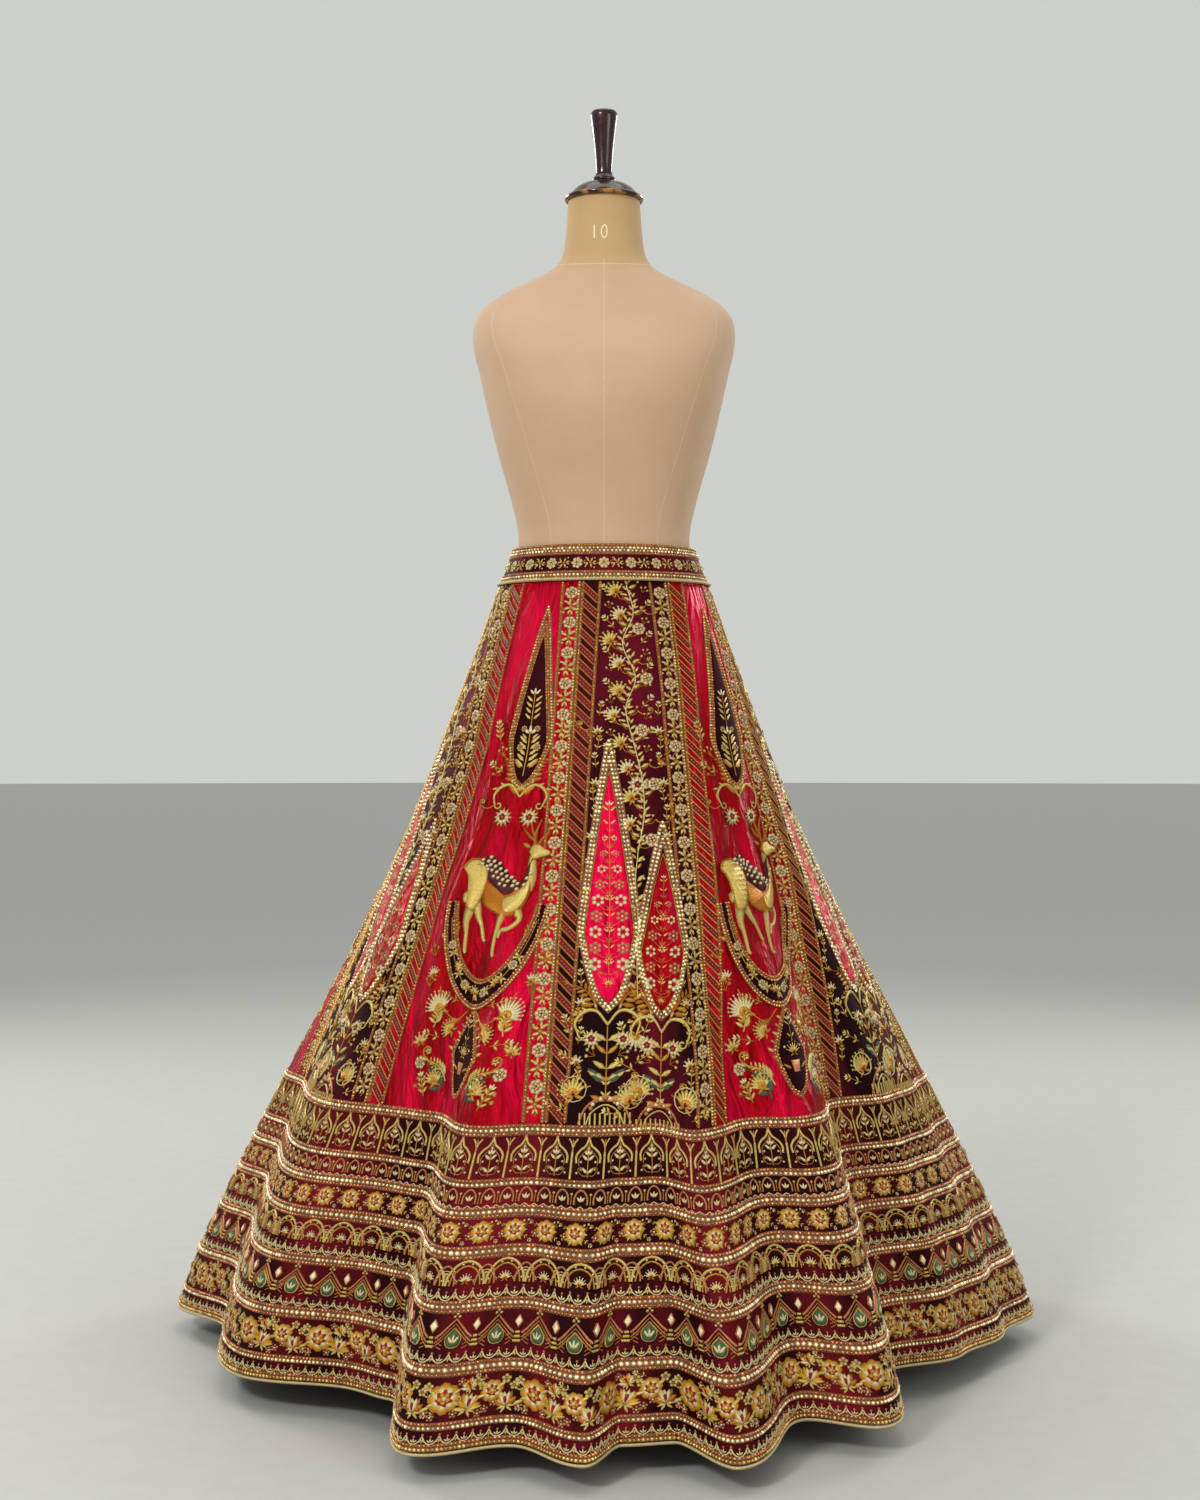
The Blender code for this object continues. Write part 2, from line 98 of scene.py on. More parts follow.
# Soft troughs (below 0) and ridges in the cloth between the big folds, as (angle, width, top, bottom, depth, lean)
CREASES = (
    (-47, 3.0, 0.10, 0.62, -0.0040, 3.0), (-38, 2.4, 0.22, 0.66, 0.0035, -2.0),
    (-21, 2.2, 0.14, 0.55, -0.0030, 4.0), (-16, 2.0, 0.34, 0.70, 0.0030, -3.0),
    (-4, 1.8, 0.30, 0.72, -0.0025, 1.0), (7, 2.0, 0.45, 0.85, -0.0060, 0.5),
    (19, 1.6, 0.40, 0.80, 0.0030, -1.0), (29, 2.4, 0.12, 0.60, 0.0035, -6.0),
    (40, 2.4, 0.20, 0.66, -0.0060, -2.0), (54, 2.8, 0.16, 0.60, -0.0040, -4.0),
    (73, 3.0, 0.20, 0.70, -0.0050, 2.0), (101, 3.0, 0.14, 0.66, -0.0055, -3.0),
    (113, 2.4, 0.26, 0.72, 0.0035, 2.0), (146, 3.2, 0.18, 0.70, -0.0060, -2.0),
    (172, 2.6, 0.22, 0.62, 0.0040, 3.0), (188, 2.8, 0.16, 0.70, -0.0050, 1.0),
    (216, 3.0, 0.20, 0.66, -0.0055, -3.0), (231, 2.4, 0.28, 0.74, 0.0040, 2.0),
    (262, 3.0, 0.16, 0.66, -0.0050, 1.0), (285, 2.8, 0.24, 0.72, -0.0045, -2.0),
)

# The angles of each kali's left seam at four levels, and how far its patches are off its middle
Kali = namedtuple("Kali", "cloth waist thigh border hem shift")
KALIS = (
    Kali("velvet", -12.0, -11.0, -9.5, -11.0, 0.0),
    Kali("satin", 35.5, 27.5, 16.5, 14.0, 0.008),
    Kali("velvet", 80.0, 62.0, 48.0, 47.0, 0.0),
    Kali("satin", 111.5, 98.0, 86.0, 86.0, 0.0),
    Kali("velvet", 143.0, 133.0, 124.0, 124.0, 0.0),
    Kali("satin", 174.5, 168.0, 162.0, 162.0, 0.0),
    Kali("velvet", 206.0, 203.0, 200.0, 200.0, 0.0),
    Kali("satin", 237.5, 238.5, 238.0, 238.0, 0.0),
    Kali("velvet", 268.5, 274.0, 276.0, 276.0, 0.0),
    Kali("satin", 300.0, 310.5, 313.0, 312.0, 0.018),
)

Patch = namedtuple("Patch", "name cloth centre top bottom half_width widest")
VELVET_DROP = Patch("velvet_drop", "velvet", 0.0, 0.955, 0.763, 0.0235, 0.72)
VELVET_LOZENGE = Patch("velvet_lozenge", "velvet", 0.004, 0.482, 0.392, 0.0240, 0.50)
SATIN_DROPS = (
    Patch("satin_drop_left", "satin", -0.026, 0.775, 0.500, 0.0300, 0.70),
    Patch("satin_drop_right", "satin", 0.042, 0.672, 0.492, 0.0280, 0.64),
)
PATCH_WALL = 0.0010
PATCH_LIFT = CLEAR + PATCH_WALL


def at(height):
    """The y on a sketch, minus metres down the cloth, of a height above the floor."""
    return (height - BAND_BOTTOM) / HEIGHT * SLANT


CRESCENT_TOP = 0.618
CRESCENT_BOTTOM = 0.494
CRESCENT_HALF_WIDTH = 0.067
CRESCENT_BAND = 0.026
CRESCENT_INSIDE = CRESCENT_HALF_WIDTH - 0.006
CRESCENT_DEPTH = at(CRESCENT_TOP) - at(CRESCENT_BOTTOM)


def run_of(points):
    """Metres along a path at each of its points."""
    return np.concatenate([[0], np.cumsum(np.linalg.norm(np.diff(points, axis=0), axis=1))])


def eased_ring(column):
    """A column of the fold table all round, eased from each ridge to the next valley."""
    around = np.arange(-180.0, 180.01, 0.25)
    turned = (around - FOLDS[0, 0]) % 360 + FOLDS[0, 0]
    values = np.zeros_like(around)
    for low, high in zip(FOLDS, np.vstack([FOLDS[1:], FOLDS[0] + [360, 0, 0]])):
        here = (turned >= low[0]) & (turned <= high[0])
        share = (turned[here] - low[0]) / (high[0] - low[0])
        values[here] = low[column] + (1 - np.cos(np.pi * share)) / 2 * (high[column] - low[column])
    return around, values


class Cloth:
    """The outer face of the skirt, found by angle and fall or by metres on the cloth."""

    def __init__(self):
        self.around, self.reach = eased_ring(1)
        self.start = eased_ring(2)[1]
        self.falls = np.linspace(0, 1, 161)
        self.angles = np.linspace(-180, 180, 1441)
        grid = self.point(self.angles[None, :], self.falls[:, None])
        run = np.stack([run_of(row) for row in grid])
        self.girths = run[:, -1]
        self.shares = run / self.girths[:, None]
        even = np.linspace(0, 1, len(self.angles))
        self.angle_rows = np.array([np.interp(even, row, self.angles) for row in self.shares])

    def point(self, angle, fall):
        """Places on the cloth in metres."""
        angle, fall = np.broadcast_arrays(np.asarray(angle, float), np.asarray(fall, float))
        half_width, ratio = (np.interp(fall, FLARES[:, 0], FLARES[:, i]) for i in (1, 2))
        wrapped = (angle + 180) % 360 - 180
        reach, start = (np.interp(wrapped, self.around, ring) for ring in (self.reach, self.start))
        grown = np.maximum(0, (fall - start) / (1 - start)) ** FOLD_GROWTH
        fold = (reach - FLARES[-1, 1]) * grown
        for middle, width, top, bottom, depth, lean in CREASES:
            off = (angle - middle - lean * (fall - (top + bottom) / 2) + 180) % 360 - 180
            shown = np.sin(np.pi * np.clip((fall - top) / (bottom - top), 0, 1)) ** 1.5
            fold = fold + depth * np.exp(-((off / width) ** 2)) * shown
        turn = np.radians(angle)
        x = (half_width + fold) * np.sin(turn)
        y = -(half_width * ratio + fold) * np.cos(turn)
        return np.stack([x, y, BAND_BOTTOM - fall * HEIGHT - HEM_DROOP * fold * fall], axis=-1)

    def normal(self, angle, fall):
        """Straight out of the cloth."""
        down = self.point(angle, np.minimum(1, fall + 0.004))
        down = down - self.point(angle, np.maximum(0, fall - 0.004))
        out = np.cross(down, self.point(angle + 0.3, fall) - self.point(angle - 0.3, fall))
        return out / np.linalg.norm(out, axis=-1, keepdims=True)

    def look_up(self, table, fall, column):
        """A table's value between its rows and columns."""
        row = np.clip(fall, 0, 1) * (len(self.falls) - 1)
        low = np.minimum(row.astype(int), len(self.falls) - 2)
        left = np.clip(column.astype(int), 0, table.shape[1] - 2)
        down, side = row - low, column - left
        upper = table[low, left] * (1 - side) + table[low, left + 1] * side
        lower = table[low + 1, left] * (1 - side) + table[low + 1, left + 1] * side
        return upper * (1 - down) + lower * down

    def share_at(self, angle, fall):
        """How far round the girth an angle lies, 0 at the back."""
        turns = np.floor((angle + 180) / 360)
        column = (angle + 180 - 360 * turns) / 360 * (len(self.angles) - 1)
        return self.look_up(self.shares, fall, column) + turns

    def angle_at(self, share, fall):
        """The angle at a share of the girth."""
        turns = np.floor(share)
        column = (share - turns) * (len(self.angles) - 1)
        return self.look_up(self.angle_rows, fall, column) + 360 * turns

    def seam(self, number, fall):
        """The angle of a kali's left seam."""
        kali = KALIS[number % len(KALIS)]
        turn = 360 * (number // len(KALIS))
        return turn + np.interp(fall, (0, THIGH_FALL, BORDER_FALL, 1), kali[1:5])

    def spread(self, number, side, across, drop, lift=0.0, even=False):
        """Points and normals at metres across and down a kali.

        side is where across is measured from: 0 the left seam, 0.5 the middle, 1 the
        right seam. even measures side along the cloth, and not by angle.
        """
        given = (np.asarray(v, float) for v in (side, across, drop, lift))
        side, across, drop, lift = np.broadcast_arrays(*given)
        fall = drop / SLANT
        left, right = self.seam(number, fall), self.seam(number + 1, fall)
        if even:
            first = self.share_at(left, fall)
            origin = first + side * (self.share_at(right, fall) - first)
        else:
            origin = self.share_at(left + side * (right - left), fall)
        angle = self.angle_at(origin + across / np.interp(fall, self.falls, self.girths), fall)
        out = self.normal(angle, np.clip(fall, 0, 1))
        return self.point(angle, fall) + out * lift[..., None], out

    def width(self, number, drop):
        """A kali's width along the cloth at a drop."""
        fall = np.asarray(drop, float) / SLANT
        left, right = (self.share_at(self.seam(n, fall), fall) for n in (number, number + 1))
        return (right - left) * np.interp(fall, self.falls, self.girths)


CLOTH = Cloth()


# ---------------- sizes and colours


def tone(code):
    """Linear red, green and blue from a colour code."""
    parts = [int(code[i : i + 2], 16) / 255 for i in (1, 3, 5)]
    return tuple(c / 12.92 if c <= 0.04045 else ((c + 0.055) / 1.055) ** 2.4 for c in parts)


def colour_property(name, about, code):
    """A colour that a user may change."""
    return FloatVectorProperty(
        name=name, description=about, subtype="COLOR", size=3, min=0, max=1, default=tone(code)
    )


def length_property(name, about, default):
    """A length that a user may change."""
    return FloatProperty(name=name, description=about, default=default, min=0, unit="LENGTH", precision=4)


class LehengaSizes(PropertyGroup):
    """Sizes of the trims and of the mesh."""

    bead_pitch: length_property("Bead pitch", "Spacing of the beads in the trims", 0.0050)
    bead_radius: length_property("Bead radius", "Half a trim bead's width", 0.0024)
    fine_pitch: length_property("Fine pitch", "Spacing of the beads along a kali's strips", 0.0043)
    fine_radius: length_property("Fine radius", "Half a fine bead's width", 0.00185)
    strip_width: length_property("Strip width", "Width of the strip beside each seam", 0.0250)
    stripe_pitch: length_property("Stripe pitch", "Spacing of the slanting stripes", 0.0222)
    rose_pitch: length_property("Rose pitch", "Spacing of the roses in a strip", 0.0440)
    piping_radius: length_property("Piping radius", "Half the width of the piping cord", 0.0019)
    cloth_columns: IntProperty(name="Cloth columns", description="Faces across a kali", default=44)
    kali_rows: IntProperty(name="Kali rows", description="Faces down a kali", default=72)
    border_rows: IntProperty(name="Border rows", description="Faces down the border", default=36)


class LehengaColours(PropertyGroup):
    """Colours of the cloths, threads and beads, and of the form."""

    velvet: colour_property("Velvet", "Pile of the dark kalis", "#1e0104")
    # Painted sheen: mixed into the velvet's colour in soft noise patches, and also the shader's sheen tint
    velvet_light: colour_property("Velvet light", "Where the dark pile catches light", "#74102a")
    satin: colour_property("Satin", "The red kalis", "#94000f")
    # Painted highlight: mixed into the satin's colour in soft noise patches
    satin_light: colour_property("Satin light", "Where the red satin turns", "#cc033c")
    inset: colour_property("Inset satin", "The pink drops", "#cf0444")
    wine: colour_property("Wine velvet", "The border and the waistband", "#2a0306")
    # Painted sheen: mixed into the border velvet's colour in soft noise patches, and also the shader's sheen tint
    wine_light: colour_property("Wine light", "Where the border's pile catches light", "#861a28")
    gold: colour_property("Gold thread", "Main thread", "#cc9640")
    pale: colour_property("Pale gold thread", "Flowers and leaves", "#dcc274")
    orange: colour_property("Orange gold thread", "Leaf sprays and shading", "#bd7a2a")
    copper: colour_property("Pink gold beads", "Outer rows of the trims", "#c88a60")
    cream: colour_property("Cream thread", "Outlines and small petals", "#e6d5a2")
    red: colour_property("Red thread", "Rose centres", "#a81232")
    yellow: colour_property("Yellow thread", "Petals of the border roses", "#e2a01c")
    green: colour_property("Green stones", "Drops in the crown arches", "#52664a")
    brown: colour_property("Brown thread", "The deer's saddle", "#5c1812")
    stripe: colour_property("Stripe velvet", "Slanting stripes beside the seams", "#861020")
    bed: colour_property("Bed thread", "Dark thread under the bead rows", "#8c5a36")
    crystal: colour_property("Crystals", "Bright middle row of the trims", "#f6e6bc")
    cover: colour_property("Form cover", "Cotton on the form's neck", "#c3a478")
    cover_tan: colour_property("Form cover, tan", "Cotton on the form's shoulders", "#c9a98c")
    mahogany: colour_property("Mahogany", "Turned cap and finial", "#2a0a08")
    piping: colour_property("Piping", "Cord at the waist and hem", "#e6cd96")


def settings_of(context):
    """The scene's sizes and colours."""
    return context.scene.lehenga_sizes, context.scene.lehenga_colours


# How much each thread shines like metal
THREADS = {
    "gold": 0.62, "pale": 0.50, "orange": 0.50, "copper": 0.60, "cream": 0.15, "red": 0.05,
    "yellow": 0.15, "green": 0.10, "brown": 0.05, "crystal": 0.55, "stripe": 0.0, "bed": 0.1,
}
THREAD_NUMBER = {name: i for i, name in enumerate(THREADS)}
# Added to a thread's number along its edges, where the thread meets the cloth, and the factor that darkens those
# points there: painted shade at the thread's foot
EDGE = 0.5
EDGE_SHADE = 0.42


def thread_colours(context):
    """Every thread's colour and metal share, in the order of THREADS."""
    colours = context.scene.lehenga_colours
    return np.array([(*getattr(colours, name), metal) for name, metal in THREADS.items()])


# ---------------- drawing thread work


def bow(start, end, sag, count):
    """An even curve between two points, bulging to its left by sag."""
    start, end = np.array(start, float), np.array(end, float)
    run = end - start
    side = np.array([-run[1], run[0]]) / max(1e-9, np.hypot(*run))
    t = np.linspace(0, 1, count + 1)[:, None]
    return start + run * t + side * sag * 4 * t * (1 - t)


def arc(x, y, radius, first, last, count):
    """Points round part of a circle, in degrees from +x."""
    turn = np.radians(np.linspace(first, last, count + 1))
    return np.stack([x + radius * np.cos(turn), y + radius * np.sin(turn)], axis=1)


def spiral(x, y, radius, first, turns, count, inner):
    """A curl that closes in on its middle."""
    t = np.linspace(0, 1, count + 1)
    turn = np.radians(first + 360 * turns * t)
    reach = radius * (1 - (1 - inner) * t)
    return np.stack([x + reach * np.cos(turn), y + reach * np.sin(turn)], axis=1)


def through(points, steps):
    """A smooth curve through a few points."""
    points = np.array(points, float)
    ends = np.vstack([2 * points[0] - points[1], points, 2 * points[-1] - points[-2]])
    t = np.linspace(0, 1, steps, endpoint=False)[:, None]
    parts = []
    for a, b, c, d in zip(ends, ends[1:], ends[2:], ends[3:]):
        bend = 2 * a - 5 * b + 4 * c - d
        parts.append(0.5 * (2 * b + (c - a) * t + bend * t**2 + (3 * b - a - 3 * c + d) * t**3))
    return np.vstack(parts + [points[-1:]])


def closed(outline):
    """An outline with its first point again at its end."""
    return np.vstack([outline, outline[:1]])


def tape_faces(count):
    """Triangles of a ridged tape with three points at each of count stations."""
    cell = np.array([[0, 1, 4], [0, 4, 3], [1, 2, 5], [1, 5, 4]])
    return (np.arange(count - 1)[:, None, None] * 3 + cell).reshape(-1, 3)


# How far a thread's edge goes into the cloth, and the width below which a line is flatter
TUCK, LINE_TUCK, THIN_LINE = 0.0002, 0.0003, 0.0012
# A leaf's stations: along, aside, up
LEAF_STATIONS = (
    (0, 0, 0), (0.38, -0.46, 0), (0.36, 0, 1), (0.38, 0.46, 0),
    (0.74, -0.34, 0), (0.72, 0, 0.8), (0.74, 0.34, 0), (1, 0, 0),
)
LEAF_FACES = (0, 2, 1), (0, 3, 2), (1, 2, 5), (1, 5, 4), (2, 3, 6), (2, 6, 5), (4, 5, 7), (5, 6, 7)
ROUND_PETALS = 0.7


class Pile:
    """Points, triangles, threads and stitch coordinates that grow part by part."""

    def __init__(self):
        self.points, self.faces, self.threads, self.stitches = [], [], [], []

    def pile(self, points, faces, threads, stitches):
        """Add a part whose triangles count from its own first point."""
        base = sum(len(p) for p in self.points)
        self.points.append(points)
        self.faces.append(faces + base)
        self.threads.append(threads)
        self.stitches.append(stitches)
        return self

    def parts(self):
        """All points, triangles, threads and stitch coordinates."""
        if len(self.points) > 1:
            self.points, self.faces = [np.vstack(self.points)], [np.vstack(self.faces)]
            self.threads, self.stitches = [np.concatenate(self.threads)], [np.vstack(self.stitches)]
        return self.points[0], self.faces[0], self.threads[0], self.stitches[0]


class Sketch(Pile):
    """Raised thread work drawn flat, in metres: x right, y up, z off the cloth."""

    def put(self, points, faces, thread, stitches):
        """Add points (x, y, z) and clockwise triangles of one thread."""
        points = np.array(points, float)
        # The rim at the lowest level, where the thread meets the cloth, is marked for painted shade
        edge = points[:, 2] <= points[:, 2].min() + 1e-6
        threads = THREAD_NUMBER[thread] + EDGE * edge
        return self.pile(points, np.array(faces), threads, np.array(stitches, float))

    def stroke(self, path, width, thread, height=0.0008):
        """A couched line: width may be one value or several along the line."""
        path = np.array(path, float)
        known = np.linspace(0, 1, np.size(width))
        widths = np.interp(np.linspace(0, 1, len(path)), known, np.atleast_1d(width))
        run = np.gradient(path, axis=0)
        side = np.stack([-run[:, 1], run[:, 0]], axis=1)
        side = side / np.maximum(1e-9, np.linalg.norm(side, axis=1, keepdims=True))
        half = side * widths[:, None] / 2
        low = np.full((len(path), 1), -LINE_TUCK)
        high = height * np.minimum(1, widths / THIN_LINE)[:, None]
        rows = (path + half, low), (path, high), (path - half, low)
        rows = np.stack([np.hstack(row) for row in rows], axis=1)
        stitches = np.stack([np.repeat(run_of(path), 3), (widths[:, None] * [0.5, 0, -0.5]).ravel()], axis=1)
        return self.put(rows.reshape(-1, 3), tape_faces(len(path))[:, ::-1], thread, stitches)

    def leaf(self, x, y, turn, length, width, thread, height=0.0009, base=0.0):
        """A pointed leaf or petal from its foot, turned in degrees from +y."""
        out = np.radians(turn)
        along, side = np.array([-np.sin(out), np.cos(out)]), np.array([np.cos(out), np.sin(out)])
        points, stitches = [], []
        for far, aside, up in LEAF_STATIONS:
            flat = np.array([x, y]) + along * far * length + side * aside * width
            points.append((*flat, base + (height * up if up else -TUCK)))
            stitches.append((far * length, aside * width))
        return self.put(points, np.array(LEAF_FACES)[:, ::-1], thread, stitches)

    def tuft(self, x, y, turns, length, width, thread, height=0.0009, base=0.0):
        """Leaves that fan out from one foot."""
        for turn in turns:
            self.leaf(x, y, turn, length, width, thread, height, base)
        return self

    def dome(self, x, y, radius, thread, height=0.0010, base=0.0, sides=6):
        """A small round knot."""
        rim = arc(x, y, radius, 0, 360 - 360 / sides, sides - 1)
        points = [(px, py, base - TUCK) for px, py in rim] + [(x, y, base + height)]
        faces = [(i, (i + 1) % sides, sides) for i in range(sides)]
        return self.put(points, faces, thread, [(px - x, py - y) for px, py in rim] + [(0, 0)])

    def fill(self, outline, thread, height=0.0010, inner=0.8):
        """A padded shape: its edge is at the cloth and its middle is raised."""
        outline = np.array(outline, float)
        count, centre = len(outline), outline.mean(axis=0)
        rim = np.hstack([outline, np.full((count, 1), -TUCK)])
        top = np.hstack([centre + (outline - centre) * inner, np.full((count, 1), height)])
        points = np.vstack([rim, top, [[*centre, height * 1.1]]])
        faces = []
        for i in range(count):
            n = (i + 1) % count
            faces += [(i, n, count + n), (i, count + n, count + i), (count + i, count + n, 2 * count)]
        turn = np.cross(outline[1] - centre, outline[2] - centre)
        return self.put(points, np.array(faces)[:, :: 1 if turn > 0 else -1], thread, points[:, :2])

    def flower(self, x, y, radius, petals, thread, middle, first=0.0, plump=0.55, base=0.0):
        """Petals all round and a knot in the middle; the plumpest petals are round."""
        for i in range(petals):
            turn = first + 360 * i / petals
            if plump > ROUND_PETALS:
                out, far = math.radians(turn), radius * 0.62
                px, py = x - far * math.sin(out), y + far * math.cos(out)
                self.dome(px, py, radius * 0.40, thread, 0.0013, base, 7)
                continue
            self.leaf(x, y, turn, radius, radius * plump * 6 / max(5, petals), thread, base=base)
        return self.dome(x, y, radius * 0.28, middle, 0.0014, base)

    def rings(self, radius, rows, turn=0.0):
        """A red-hearted rose of round petals: rows of (size, petals, thread, turn, height)."""
        for size, petals, thread, first, base in rows:
            self.flower(0, 0, radius * size, petals, thread, "red", turn + first, 0.9, base)
        return self

    def add(self, other, x=0.0, y=0.0, turn=0.0, scale=1.0, flip=False, stretch=1.0):
        """Another sketch, placed in this one."""
        points, faces, threads, stitches = other.parts()
        moved = points * [(-scale if flip else scale) * stretch, scale, scale]
        cos, sin = math.cos(math.radians(turn)), math.sin(math.radians(turn))
        placed = moved @ np.array([(cos, sin, 0), (-sin, cos, 0), (0, 0, 1)]) + [x, y, 0]
        return self.pile(placed, faces[:, ::-1] if flip else faces, threads, stitches * scale)

    def pairs(self, x, y, rows):
        """Mirrored pairs of (sketch, across, up, lean), flipped on the left if True follows."""
        for other, across, up, lean, *flip in rows:
            for side in (1, -1):
                self.add(other, x + side * across, y + up, -side * lean, flip=bool(flip) and side < 0)
        return self


# ---------------- motifs


def rose(radius=0.0092, ring="cream", petals="copper"):
    """A round rose: scalloped petals round a coiled heart."""
    rows = (1.0, 7, ring, 0, 0.0), (0.72, 5, petals, 20, 0.0008), (0.44, 4, ring, 10, 0.0015)
    return Sketch().rings(radius, rows)


def fan(width, petals=7, tip="pale"):
    """A palmette that opens upwards from its foot."""
    s, foot = Sketch(), width * 0.06
    for turn in np.linspace(74, -74, petals):
        reach = width * (0.58 - 0.10 * abs(turn) / 74)
        s.leaf(0, foot, turn, reach, width * 1.35 / petals, tip)
        out = math.radians(turn)
        s.dome(-reach * math.sin(out), foot + reach * math.cos(out), width * 0.42 / petals, tip, 0.0012)
    s.fill(arc(0, foot, width * 0.20, 0, 180, 6), "gold", 0.0016, inner=0.7)
    s.tuft(0, 0, (70, -70, 120, -120), width * 0.34, width * 0.13, "gold", 0.0012)
    return s.dome(0, width * 0.12, width * 0.08, "red", 0.0024)


def sprig(length, pairs=2, leaf="pale", tip="pale"):
    """A straight stem with pairs of leaves and a small bloom."""
    s = Sketch()
    s.stroke([(0, 0), (0, length * 0.55), (0, length)], length * 0.05, "gold")
    for i in range(pairs):
        y = length * (0.15 + 0.5 * i / max(1, pairs - 1))
        s.tuft(0, y, (46, -46), length * 0.34, length * 0.14, leaf)
    return s.tuft(0, length * 0.86, (40, 0, -40), length * 0.26, length * 0.14, tip)


def berries(size, thread="gold"):
    """Three round berries on thin stalks."""
    s = Sketch()
    for x, y in np.array([(-0.5, 0.75), (0.1, 1.0), (0.55, 0.6)]) * size:
        s.stroke(bow((0, 0), (x, y), 0.08 * size, 3), size * 0.09, "orange")
        s.dome(x, y, size * 0.20, thread, 0.0014)
    return s


def spray(length, leaves=5, thread="orange"):
    """A curved stalk with leaves that get smaller to the tip."""
    s = Sketch()
    path = bow((0, 0), (0, length), 0.18 * length, 8)
    s.stroke(path, (length * 0.05, length * 0.02), thread)
    for i in range(leaves):
        foot = path[1 + i * 6 // leaves]
        size = length * (0.34 - 0.04 * i)
        s.leaf(*foot, 52, size, size * 0.42, thread)
        s.leaf(*foot, -48, size, size * 0.42, "gold" if i % 2 else thread)
    return s.leaf(*path[-2], -10, length * 0.22, length * 0.09, thread)


def curl(width, bud="pale"):
    """A stem that curls round a bud; it leaves its foot to the right."""
    s, middle = Sketch(), width * 0.62
    s.stroke(bow((0, 0), (width * 0.75, width * 0.35), -width * 0.18, 4), width * 0.09, "gold")
    s.stroke(spiral(middle, middle, width * 0.30, -65, 0.9, 9, 0.35), width * 0.08, "gold")
    return s.flower(middle, middle, width * 0.17, 5, bud, "red")


def scroll_arch(width, height):
    """Two C scrolls that spring from a point and curl out and down."""
    half = Sketch()
    path = np.array([(0, 0), (0.16, 0.55), (0.34, 0.52), (0.47, 0.08), (0.42, -0.45)]) * [width, height]
    half.stroke(through(path, 4), (width * 0.035, width * 0.06, width * 0.03), "pale", 0.0013)
    half.stroke(spiral(width * 0.36, -height * 0.42, width * 0.07, 0, -0.9, 7, 0.4), width * 0.03, "pale")
    for i, turn in enumerate((-20, -60, -100)):
        x, y = width * (0.16 + 0.13 * i), height * (0.62 - 0.1 * i)
        half.leaf(x, y, turn, width * 0.12, width * 0.05, "pale")
    return Sketch().add(half).add(half, flip=True)


def wreath(radius, petals, tip="pale"):
    """A leafy ring round a rosette."""
    s = Sketch().flower(0, 0, radius, petals, tip, "red", plump=0.6)
    s.flower(0, 0, radius * 0.68, 7, "cream", "red", 10, 0.9, 0.0008)
    return s.flower(0, 0, radius * 0.38, 5, "red", "yellow", 0, 0.9, 0.0016)


def bead_flower(radius):
    """A small flower of five round beads."""
    s = Sketch()
    for x, y in arc(0, 0, radius * 0.62, 90, 378, 4):
        s.dome(x, y, radius * 0.36, "copper", 0.0018)
    return s.dome(0, 0, radius * 0.30, "crystal", 0.0022)


def stripe(width, pitch):
    """One slanting stripe of a seam strip: wine velvet edged in gold."""
    s, half = Sketch(), width / 2
    lines = (0, 0.50, "stripe", 0.0005), (0.26, 0.085, "gold", 0.0013), (-0.26, 0.085, "gold", 0.0013)
    for off, thick, thread, height in lines:
        y = off * pitch
        s.stroke([(-half, y + half), (0, y), (half, y - half)], thick * pitch, thread, height)
    for i in range(6):
        x = width * (-0.40 + 0.16 * i)
        s.dome(x, -x, pitch * 0.045, "pale", 0.0016, sides=4)
    return s


# Leaves of a vine step: across and up as shares of the strip's width, lean, length
STEP_LEAVES = (
    (0.05, 0.16, 58, 0.42), (0.05, 0.14, -72, 0.40), (-0.02, 0.0, 105, 0.40), (0.02, -0.02, -110, 0.42),
    (0.0, -0.12, 150, 0.34), (0.0, 0.22, 10, 0.34), (0.0, -0.14, -160, 0.34),
)


def vine_step(pitch, width, turn=1):
    """One length of the vine in a rose strip: leafy clusters beside the stem."""
    s = Sketch()
    stem = np.array([(0, 0.5), (0.22, 0.2), (-0.1, -0.2), (0, -0.5)]) * [turn * width, pitch]
    s.stroke(through(stem, 3), 0.0012, "gold")
    for x, y, lean, size in STEP_LEAVES:
        s.leaf(turn * x * width, y * width, turn * lean, size * width, size * width * 0.50, "pale", 0.0013)
    for x, y in ((0.36, 0.34), (-0.38, -0.28), (-0.30, 0.36), (0.34, -0.30)):
        s.dome(turn * x * width, y * width, width * 0.07, "cream", 0.0015)
    return s.dome(0, 0.04 * width, width * 0.12, "copper", 0.0018)


def inside(point, outline):
    """Whether a point is within a closed outline."""
    x, y = point
    ahead = np.roll(outline, -1, axis=0)
    cross = (outline[:, 1] > y) != (ahead[:, 1] > y)
    share = (y - outline[:, 1]) / np.where(cross, ahead[:, 1] - outline[:, 1], 1)
    return np.sum(cross & (x < outline[:, 0] + share * (ahead[:, 0] - outline[:, 0]))) % 2 == 1


